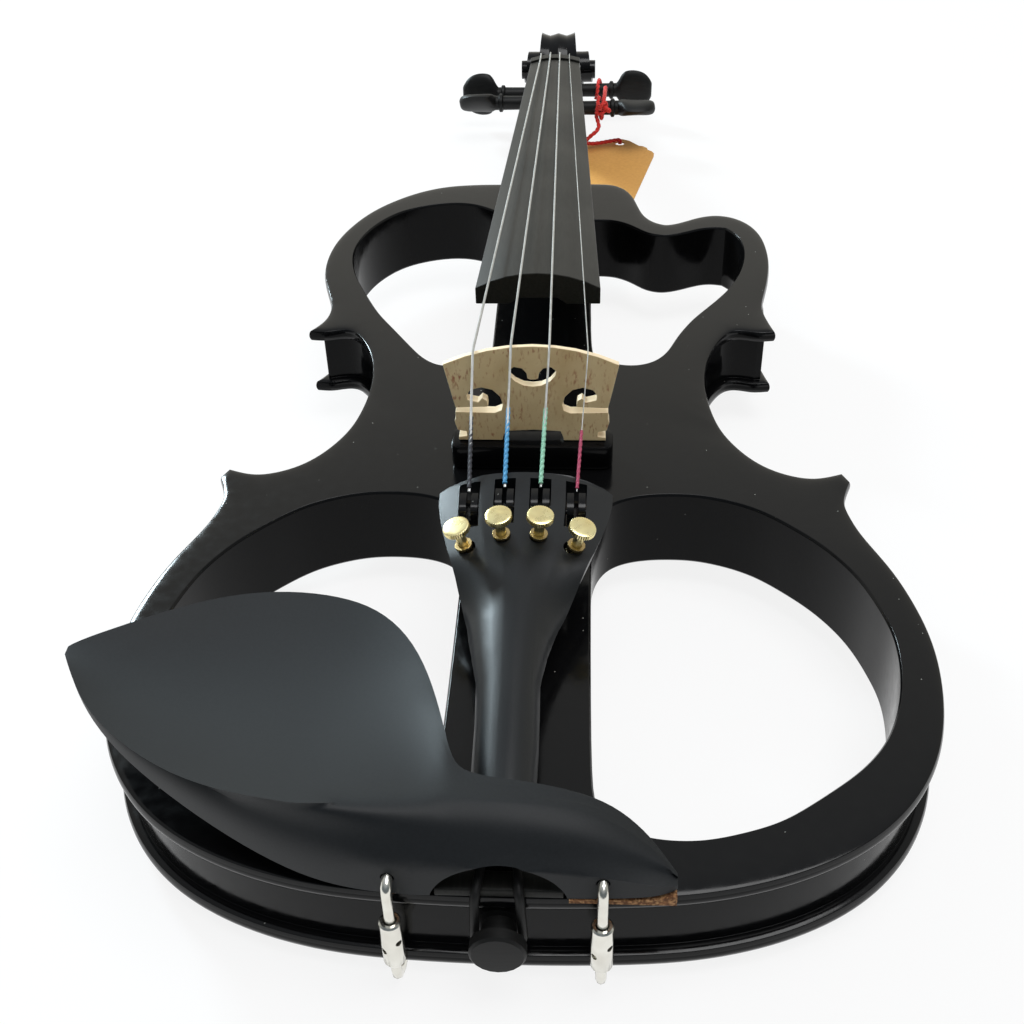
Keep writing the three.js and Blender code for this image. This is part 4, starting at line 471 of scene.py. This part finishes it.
def dress(node, finish, sharp=34, rounding=0.0, levels=0, flatten=1.0, shaded_wall_finish=None):
    shape = bmesh.new()
    shape.from_mesh(nodes[node].data)
    bmesh.ops.remove_doubles(shape, verts=shape.verts, dist=merge_distance)
    if flatten:
        bmesh.ops.dissolve_limit(
            shape, angle_limit=math.radians(flatten), verts=shape.verts, edges=shape.edges,
            use_dissolve_boundaries=False, delimit=set(),
        )
    if levels:
        flat_faces = [face for face in shape.faces if len(face.verts) > 4]
        bmesh.ops.triangulate(shape, faces=flat_faces)
        bmesh.ops.join_triangles(
            shape, faces=shape.faces, angle_face_threshold=joined_angle, angle_shape_threshold=joined_skew
        )
        crease = shape.edges.layers.float.new("crease_edge")
        for edge in shape.edges:
            if edge.calc_face_angle(math.pi) > math.radians(sharp):
                edge[crease] = 1.0
    if shaded_wall_finish:
        for face in shape.faces:
            face.material_index = int(abs(face.normal.z) < wall_lean)
    for edge in shape.edges:
        edge.smooth = edge.calc_face_angle(math.pi) < math.radians(sharp)
    for face in shape.faces:
        face.smooth = True
    mesh = bpy.data.meshes.new(f"{node}_dressed")
    shape.to_mesh(mesh)
    shape.free()
    piece = place_piece(f"{node}_dressed", mesh, finish, node)
    if shaded_wall_finish:
        mesh.materials.append(shaded_wall_finish)
    if levels:
        add_subdivision(piece, levels)
    if rounding:
        add_rounding(piece, rounding, sharp)
    return piece


def place_piece(name, mesh, finish, node, stands_in=True):
    piece = bpy.data.objects.new(name, mesh)
    scene.collection.objects.link(piece)
    mesh.materials.append(finish)
    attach(piece, nodes[node]["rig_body"])
    if stands_in:
        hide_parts(node)
    return piece


def add_subdivision(piece, levels):
    modifier = piece.modifiers.new("Subdivision", "SUBSURF")
    modifier.levels = levels
    modifier.render_levels = levels
    modifier.uv_smooth = "NONE"


def add_rounding(piece, width, sharp=34):
    modifier = piece.modifiers.new("Bevel", "BEVEL")
    modifier.width = width
    modifier.segments = 2
    modifier.limit_method = "ANGLE"
    modifier.angle_limit = math.radians(sharp)
    modifier.harden_normals = True
    modifier.use_clamp_overlap = False


# %% [markdown]
# ## The tag's thread
# The thread is a thick two-ply yarn. It goes round the shafts of the two right-hand pegs and falls to the tag
# in an S. A section with two lobes is swept along that line while it turns, which is how two plies lie
# round each other.

# %% Twisted cords
lobe_corners = 20
lobe_waist = 0.68
lobe_sharpness = 0.8


def make_lobes(name, radius):
    data = bpy.data.curves.new(name, "CURVE")
    data.dimensions = "2D"
    spline = data.splines.new("POLY")
    spline.points.add(lobe_corners - 1)
    for index, point in enumerate(spline.points):
        angle = math.tau * index / lobe_corners
        reach = radius * (lobe_waist + (1 - lobe_waist) * abs(math.cos(angle)) ** lobe_sharpness)
        point.co = (reach * math.cos(angle), reach * math.sin(angle), 0, 1)
    spline.use_cyclic_u = True
    return bpy.data.objects.new(name, data)


def twisted_mesh(name, points, radius, twist_length):
    lobes = make_lobes(f"{name}_section", radius)
    scene.collection.objects.link(lobes)
    data = bpy.data.curves.new(name, "CURVE")
    data.dimensions = "3D"
    data.twist_mode = "MINIMUM"
    data.bevel_mode = "OBJECT"
    data.bevel_object = lobes
    data.use_fill_caps = True
    spline = data.splines.new("POLY")
    spline.points.add(len(points) - 1)
    walked = 0.0
    for index, point in enumerate(points):
        if index:
            walked += (point - points[index - 1]).length
        spline.points[index].co = (*point, 1)
        spline.points[index].tilt = math.tau * walked / twist_length
    cord = bpy.data.objects.new(name, data)
    scene.collection.objects.link(cord)
    bpy.context.view_layer.update()
    mesh = bpy.data.meshes.new_from_object(cord.evaluated_get(bpy.context.evaluated_depsgraph_get()))
    mesh.name = name
    bpy.data.objects.remove(cord)
    bpy.data.objects.remove(lobes)
    mesh.shade_smooth()
    return mesh


def closer_points(points, spacing):
    closer = [points[0]]
    for start, end in zip(points, points[1:]):
        steps = max(1, round((end - start).length / spacing))
        closer += [start.lerp(end, step / steps) for step in range(1, steps + 1)]
    return closer


# %% The thread
yarn_radius = 1.1 * MM
yarn_twist = 5 * MM
yarn_spacing = 0.5 * MM
loop_steps = 10
peg_shaft_radius = 3.7 * MM
yarn_clearance = 0.4 * MM


def peg_loop(peg, from_x, to_x, from_turn, turns):
    steps = round(loop_steps * abs(turns))
    radius = peg_shaft_radius + yarn_clearance + yarn_radius
    _, y, z = joint_of[f"peg_{peg}_turn"]["pos_m"]
    points = []
    for step in range(steps + 1):
        angle = math.tau * (from_turn + turns * step / steps)
        x = (from_x + (to_x - from_x) * step / steps) * MM
        points.append(Vector((x, y + radius * math.cos(angle), z + radius * math.sin(angle))))
    return points


yarn_fall = [
    (21.87, 336.04, -2.41), (22.39, 334.45, -4.45), (21.07, 333.41, -6.50), (18.39, 332.96, -8.52),
    (16.53, 333.74, -10.59), (15.33, 335.95, -12.79), (15.39, 338.00, -14.52), (17.01, 339.25, -15.50),
    (19.38, 340.38, -16.13), (22.93, 341.93, -16.42), (27.08, 343.55, -16.34), (30.17, 345.01, -16.46),
    (32.67, 346.39, -16.64), (33.82, 347.04, -17.32), (33.83, 347.04, -18.13), (33.72, 346.98, -19.00),
]
yarn_route = peg_loop("a", 21, 26, 0.6, -1.2) + peg_loop("e", 25, 21, 0.2, 1.4)
yarn_route += [Vector(point) * MM for point in yarn_fall]
yarn = place_piece(
    "tag_yarn", twisted_mesh("tag_yarn", closer_points(yarn_route, yarn_spacing), yarn_radius, yarn_twist),
    yarn_red, "tag_thread",
)

# %% [markdown]
# The thread is knotted in front of the nearer peg. A trefoil is the plainest closed knot, and its three
# lobes, pulled small, give the lump of crossing strands that such a knot shows. It belongs to the thread.

# %% The knot
knot_scale = 1.15 * MM
knot_place = Vector((24.4, 336.2, 4.7)) * MM
knot_tilt = math.radians(-69)
knot_steps = 72


def trefoil_points():
    tilt = Matrix.Rotation(knot_tilt, 3, "X")
    points = []
    for step in range(knot_steps + 1):
        turn = math.tau * step / knot_steps
        across = math.sin(turn) + 2 * math.sin(2 * turn)
        along = math.cos(turn) - 2 * math.cos(2 * turn)
        points.append(knot_place + tilt @ Vector((across, along, -math.sin(3 * turn))) * knot_scale)
    return points


knot = place_piece(
    "tag_knot", twisted_mesh("tag_knot", trefoil_points(), yarn_radius, yarn_twist), yarn_red,
    "tag_thread", stands_in=False,
)

# %% [markdown]
# ## The tag
# The tag is a stamped card, left bare. Its copy gets a soft edge, as card has where a die has cut it, and is
# tilted about a line across it until it lies on the floor, which slopes a little under the violin.

# %% The tag
floor_slope = math.radians(-1.815)
tag_hinge = Vector((0, 330, -18.6)) * MM
tag = dress("hang_tag", card, sharp=40, rounding=0.1 * MM)
tag.data.transform(
    Matrix.Translation(tag_hinge) @ Matrix.Rotation(floor_slope, 4, "X") @ Matrix.Translation(-tag_hinge)
)

# %% [markdown]
# ## Body, neck and fingerboard
# The outline body is cut from a board and sprayed, so its faces stay flat and its edges are soft. Its
# outline and the carved scroll arrive in short straight steps, and a subdivision makes them smooth. The
# creases hold the edges where they are.

# %% Body, neck and fingerboard
# The body's walls take the lacquer copy with painted shade.
dress("body_frame", lacquer, sharp=28, rounding=0.12 * MM, levels=2, shaded_wall_finish=shaded_wall_lacquer)
dress("neck", lacquer, sharp=28, levels=1)
dress("fingerboard", ebony, rounding=0.35 * MM, sharp=25)
dress("nut", ebony, rounding=0.2 * MM, sharp=25)
# The pickup bar takes the walls' lacquer copy, with its painted shade.
dress("pickup_bar", shaded_wall_lacquer, sharp=28)
dress("piezo_strip", gold, rounding=0.1 * MM)

# %% [markdown]
# ## Bridge
# The frame's bridge already has its heart, kidneys and arch. The copy gets the slight rounding that sanding
# leaves on every cut edge.

# %% Bridge
dress("bridge", maple, sharp=30, rounding=0.22 * MM)

# %% [markdown]
# ## Tailpiece and tuners
# The tailpiece is moulded: it has a narrow waist, and behind the tuners its top is arched. Its copy is cut
# into fine triangles, and each of their corners is then moved in towards the middle and down.

# %% Tailpiece
tailpiece_middle = -0.9  # in mm, as are all the lengths of the tailpiece down to cut_lengths
# y, reach to the left and right of x = 0, and how far the left and right sides come in.
tailpiece_stations = (
    (-149, 9.5, 6.1, 0, 0.6), (-125, 9.5, 6.8, 0, 0.85), (-117, 9.5, 7.1, 0, 1.2), (-108, 9.9, 7.8, 0, 2.0),
    (-99, 11.6, 9.7, 0, 2.6), (-93, 13.1, 11.4, 0.5, 3.1), (-87, 15.0, 13.5, 1.3, 3.35),
    (-80, 17.1, 15.9, 1.8, 3.3), (-73, 19.1, 18.0, 1.7, 2.6), (-65, 21.0, 20.2, 1.2, 1.7),
    (-58, 22.3, 21.7, 0.6, 0.8), (-50, 23.6, 22.9, 0, 0),
)
arch_share, arch_fullness = 0.75, 0.96
arch_start, arch_full = -66, -86
skirt_y, skirt_low, skirt_slope, shell_height = -61, 39.2, 0.127, 8.0
cut_before = -55
cut_lengths = 4, 2, 1.4
tailpiece_sharp = 40


def tailpiece_at(y):
    """Left and right reach, and how far each comes in, at one place along the tailpiece, in mm."""
    stations = tailpiece_stations
    for near, far in zip(stations, stations[1:]):
        if y <= far[0]:
            share = max(0.0, (y - near[0]) / (far[0] - near[0]))
            return [a + (b - a) * share for a, b in zip(near[1:], far[1:])]
    return list(stations[-1][1:])


def cut_finer(shape):
    bmesh.ops.triangulate(shape, faces=shape.faces)
    for longest in cut_lengths:
        long_edges = [
            edge for edge in shape.edges
            if edge.calc_length() > longest * MM and min(vert.co.y for vert in edge.verts) < cut_before * MM
        ]
        bmesh.ops.subdivide_edges(shape, edges=long_edges, cuts=1)
        bmesh.ops.triangulate(shape, faces=shape.faces)


def clamp(value):
    return min(max(value, 0.0), 1.0)


def moulded_place(x, y, z):
    """Where a point of the tailpiece goes: in at the waist, and down at the sides of the arch."""
    left, right, left_in, right_in = tailpiece_at(y)
    offset = x - tailpiece_middle
    if offset > 0:
        reach, drawn_in = right - tailpiece_middle, right_in
    else:
        reach, drawn_in = left + tailpiece_middle, left_in
    share = min(abs(offset) / reach, 1.0)
    back = clamp((y - arch_start) / (arch_full - arch_start))
    back = back * back * (3 - 2 * back)
    half_width = (left + right - left_in - right_in) / 2
    height = clamp((z - skirt_low - skirt_slope * (y - skirt_y)) / shell_height)
    drop = back * arch_share * half_width * (1 - math.sqrt(1 - arch_fullness * share * share))
    return Vector((tailpiece_middle + offset * (1 - drawn_in / reach), y, z - drop * height))


def mould_tailpiece(mesh):
    shape = bmesh.new()
    shape.from_mesh(mesh)
    cut_finer(shape)
    for vert in shape.verts:
        vert.co = moulded_place(*(vert.co / MM)) * MM
    for edge in shape.edges:
        edge.smooth = edge.calc_face_angle(math.pi) < math.radians(tailpiece_sharp)
    shape.to_mesh(mesh)
    shape.free()


mould_tailpiece(dress("tailpiece", satin_black, sharp=tailpiece_sharp).data)
for string in "gdae":
    dress(f"tuner_lever_{string}", lacquer, sharp=50, levels=2)
    dress(f"tuner_bushing_{string}", darker_gold, rounding=0.1 * MM)

# %% [markdown]
# The tuner screws have a domed head with a knurled rim, made here from a ring whose corners are drawn in two
# by two. The ring is thickened downwards, drawn on into the stem, domed upwards and turned onto its axis.

# %% Tuner screws
head_radius = 3.6 * MM
head_thickness = 1.6 * MM
rim_drop = 0.35 * MM
stem_radius = 1.35 * MM
stem_clearance = 0.4 * MM
soft_edge = 0.2 * MM
knurl_count, knurl_share = 36, 0.955
head_foot_share, stem_tip_share = 0.93, 0.8
dome_steps = (0.12, 0.97), (0.1, 0.93), (0.07, 0.8), (0.04, 0.6), (0.02, 0.3)
screw_sharp = math.radians(24)
most_corners = 10000  # more than a screw has


def ring_of(shape, radius, height, count):
    made = bmesh.ops.create_circle(shape, cap_ends=False, segments=count, radius=radius)
    bmesh.ops.translate(shape, verts=made["verts"], vec=(0, 0, height))
    return made["verts"]


def edges_of(verts):
    """The edges between these corners, each once."""
    kept = set(verts)
    near = [edge for vert in verts for edge in vert.link_edges]
    return [edge for edge in dict.fromkeys(near) if all(vert in kept for vert in edge.verts)]


def draw_on(shape, edges, rise, share):
    """Extrudes a ring of edges up or down by rise and scales it about the axis by share."""
    made = bmesh.ops.extrude_edge_only(shape, edges=edges)["geom"]
    verts = [item for item in made if isinstance(item, bmesh.types.BMVert)]
    bmesh.ops.translate(shape, verts=verts, vec=(0, 0, rise))
    bmesh.ops.scale(shape, verts=verts, vec=(share, share, 1))
    return [item for item in made if isinstance(item, bmesh.types.BMEdge)]


def by_corners(face):
    """A number to sort faces by, because extruding makes them in an order that changes from run to run."""
    places = [vert.index for vert in face.verts]
    return min(places) * most_corners + max(places)


def make_screw(string):
    joint = joint_of[f"screw_{string}_turn"]
    axis = Vector(joint["axis"]).normalized()
    foot = Vector(joint["pos_m"])
    along = [(Vector(vert.co) - foot).dot(axis) for vert in nodes[f"tuner_screw_{string}"].data.vertices]
    top, low = max(along), min(along)
    shape = bmesh.new()
    rim = ring_of(shape, head_radius, top - rim_drop, 2 * knurl_count)
    ring = edges_of(rim)
    bmesh.ops.scale(shape, verts=rim[1::2], vec=(knurl_share, knurl_share, 1))
    down = draw_on(shape, ring, rim_drop - head_thickness, 1.0)
    down = draw_on(shape, down, -soft_edge, head_foot_share)
    down = draw_on(shape, down, 0.0, stem_radius / head_radius / head_foot_share)
    down = draw_on(shape, down, low - top + head_thickness + stem_clearance, 1.0)
    down = draw_on(shape, down, -soft_edge, stem_tip_share)
    bmesh.ops.edgenet_fill(shape, edges=down)
    up = ring
    for rise, share in dome_steps:
        up = draw_on(shape, up, rise * MM, share)
    bmesh.ops.edgenet_fill(shape, edges=up)
    bmesh.ops.recalc_face_normals(shape, faces=shape.faces)
    shape.verts.index_update()
    shape.faces.sort(key=by_corners)
    turned = Vector((0, 0, 1)).rotation_difference(axis).to_matrix().to_4x4()
    bmesh.ops.transform(shape, matrix=Matrix.Translation(foot) @ turned, verts=shape.verts)
    mesh = bpy.data.meshes.new(f"tuner_screw_{string}_turned")
    shape.to_mesh(mesh)
    shape.free()
    mesh.shade_smooth()
    mesh.set_sharp_from_angle(angle=screw_sharp)
    place_piece(f"tuner_screw_{string}_turned", mesh, gold, f"tuner_screw_{string}")


for string in "gdae":
    make_screw(string)

# %% [markdown]
# ## Pegs, strings and silks
# The pegs are turned and then flattened to a thumb turn, so their copies are subdivided. The strings keep
# the frame's line. Each silk is two plies wound round the string's end, like the thread but finer.

# %% Pegs and strings
for string in "gdae":
    dress(f"peg_{string}", peg_black, sharp=45, levels=2)
    dress(f"string_{string}", steel, sharp=60, flatten=0)


# %% Silks
end_depth = 0.4 * MM


def node_end(node, highest):
    """The middle of a node's end, found from the corners that lie furthest along Y."""
    low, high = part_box(node)
    limit = high.y - end_depth if highest else low.y + end_depth
    end = [vert.co for vert in nodes[node].data.vertices if (vert.co.y > limit) == highest]
    return sum(end, Vector()) / len(end)


silk_radius = {"g": 0.66 * MM, "d": 0.68 * MM, "a": 0.66 * MM, "e": 0.52 * MM}
silk_twist = 3.6 * MM
silk_spacing = 0.4 * MM
for string in "gdae":
    silk_node = f"string_silk_{string}"
    silk_line = [node_end(silk_node, False), node_end(silk_node, True)]
    silk_mesh = twisted_mesh(
        f"{silk_node}_wound", closer_points(silk_line, silk_spacing), silk_radius[string], silk_twist
    )
    place_piece(f"{silk_node}_wound", silk_mesh, silk_finishes[string], silk_node)

# %% [markdown]
# ## Tail fittings and chinrest
# The chinrest is moulded, with one long crest that runs from the cup into the wall over the clamps. It
# stands on two strips of cork. The left one stops at its hook, and the right one shows past the wall.

# %% Tail fittings and chinrest
dress("tailgut", peg_black, sharp=60, flatten=0)
dress("end_button", peg_black, sharp=40)
dress("end_saddle", ebony, rounding=0.3 * MM)
dress("chinrest", matte_black, sharp=50, levels=2)
left_cork_limit = -27 * MM
right_cork_front = -1.4 * MM
for side in ("left", "right"):
    pad = dress(f"chinrest_cork_{side}", cork, rounding=0.15 * MM).data
    low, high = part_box(f"chinrest_cork_{side}")
    for vert in pad.vertices:
        if side == "left":
            vert.co.x = high.x - (high.x - vert.co.x) * (high.x - left_cork_limit) / (high.x - low.x)
        else:
            vert.co.y += right_cork_front * (high.y - vert.co.y) / (high.y - low.y)
    dress(f"clamp_hook_{side}", nickel, sharp=60, flatten=0)
    dress(f"clamp_barrel_{side}", nickel, sharp=40, flatten=0)
dress("clamp_foot_bracket", nickel, sharp=60, flatten=0)
dress("clamp_foot_cork", cork, rounding=0.15 * MM)

# %% [markdown]
# ## Electronics in the back
# The photograph doesn't show the back. A flat panel with a battery door, two thumb wheels, a switch and
# two jacks is usual for such a violin.

# %% Electronics
for node, finish in (
    ("control_panel", panel_plastic), ("battery_door", panel_plastic), ("volume_wheel", panel_plastic),
    ("tone_wheel", panel_plastic), ("power_switch", panel_plastic), ("battery", cell_case),
    ("circuit_board", circuit), ("output_jack", nickel), ("headphone_jack", nickel),
):
    dress(node, finish, rounding=0.15 * MM)

# %% [markdown]
# ## Floor and light
# The floor is plain and pale. It still takes the violin's shadow, and it also shines a little of its own
# colour to the camera and into reflections, so that the black lacquer mirrors the white surface.


# %% Floor
resting_length = 565 * MM
floor_middle_y = -150 * MM
floor_gap = 0.2 * MM
floor_reach = 4
floor_glow = 0.86


def make_floor():
    tail_low, head_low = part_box("clamp_foot_bracket")[0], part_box("neck")[0]
    slope = math.atan2(head_low.z - tail_low.z, resting_length)
    shape = bmesh.new()
    bmesh.ops.create_grid(shape, x_segments=1, y_segments=1, size=floor_reach)
    middle = Matrix.Translation((0, floor_middle_y, tail_low.z - floor_gap))
    bmesh.ops.transform(shape, matrix=middle @ Matrix.Rotation(slope, 4, "X"), verts=shape.verts)
    mesh = bpy.data.meshes.new("floor")
    shape.to_mesh(mesh)
    shape.free()
    material, tree, shader = start_finish("pale floor", (0.86, 0.865, 0.87), 0.6)
    path = add_node(tree, "ShaderNodeLightPath").outputs
    seen = add_node(
        tree, "ShaderNodeMath", {0: path["Is Camera Ray"], 1: path["Is Glossy Ray"]}, operation="MAXIMUM"
    )
    seen = add_node(
        tree, "ShaderNodeMath", {0: seen.outputs[0], 1: path["Is Transmission Ray"]}, operation="MAXIMUM"
    )
    share = add_node(tree, "ShaderNodeMath", {0: seen.outputs[0], 1: floor_glow}, operation="MULTIPLY")
    glow = add_node(tree, "ShaderNodeEmission", {"Color": (1, 1, 1, 1), "Strength": 1.0})
    mixed = add_node(tree, "ShaderNodeMixShader", {"Fac": share.outputs[0]})
    tree.links.new(shader.outputs["BSDF"], mixed.inputs[1])
    tree.links.new(glow.outputs["Emission"], mixed.inputs[2])
    tree.links.new(mixed.outputs["Shader"], tree.nodes["Material Output"].inputs["Surface"])
    mesh.materials.append(material)
    floor = bpy.data.objects.new("floor", mesh)
    scene.collection.objects.link(floor)


make_floor()


# %% The room
def make_room():
    world = bpy.data.worlds.new("room")
    scene.world = world
    world.use_nodes = True
    tree = world.node_tree
    tree.nodes.clear()
    facing = add_node(tree, "ShaderNodeTexCoord").outputs["Generated"]
    parted = add_node(tree, "ShaderNodeSeparateXYZ", {"Vector": facing})
    ahead = add_node(
        tree, "ShaderNodeMapRange", {"Value": parted.outputs["Y"], "From Min": -0.5, "From Max": 0.9}
    )
    wall = mix_colors(tree, ahead.outputs[0], (0.13, 0.15, 0.165), (0.78, 0.76, 0.69))
    overhead = add_node(
        tree, "ShaderNodeMapRange", {"Value": parted.outputs["Z"], "From Min": 0.5, "From Max": 0.95}
    )
    color = mix_colors(tree, overhead.outputs[0], wall, (0.45, 0.47, 0.5))
    room = add_node(tree, "ShaderNodeBackground", {"Color": color, "Strength": 1.0})
    plain = add_node(tree, "ShaderNodeBackground", {"Color": (1, 1, 1, 1), "Strength": 1.0})
    path = add_node(tree, "ShaderNodeLightPath").outputs
    mixed = add_node(tree, "ShaderNodeMixShader", {"Fac": path["Is Camera Ray"]})
    tree.links.new(room.outputs[0], mixed.inputs[1])
    tree.links.new(plain.outputs[0], mixed.inputs[2])
    output = add_node(tree, "ShaderNodeOutputWorld")
    tree.links.new(mixed.outputs[0], output.inputs["Surface"])


make_room()


# %% Lamps
def add_lamp(name, place, target, size, power, tint=(1, 1, 1)):
    data = bpy.data.lights.new(name, "AREA")
    data.shape = "RECTANGLE"
    data.size, data.size_y = size
    data.energy = power
    data.color = tint
    lamp = bpy.data.objects.new(name, data)
    lamp.location = place
    lamp.rotation_mode = "QUATERNION"
    lamp.rotation_quaternion = (Vector(target) - Vector(place)).to_track_quat("-Z", "Y")
    scene.collection.objects.link(lamp)


add_lamp("window", (-1.14, 1.32, 0.84), (0, -0.09, 0.04), (0.32, 0.4), 32, (0.76, 0.92, 1.0))
add_lamp("ceiling", (0.4, -0.2, 2.0), (0, 0.05, 0), (1.2, 1.2), 24)
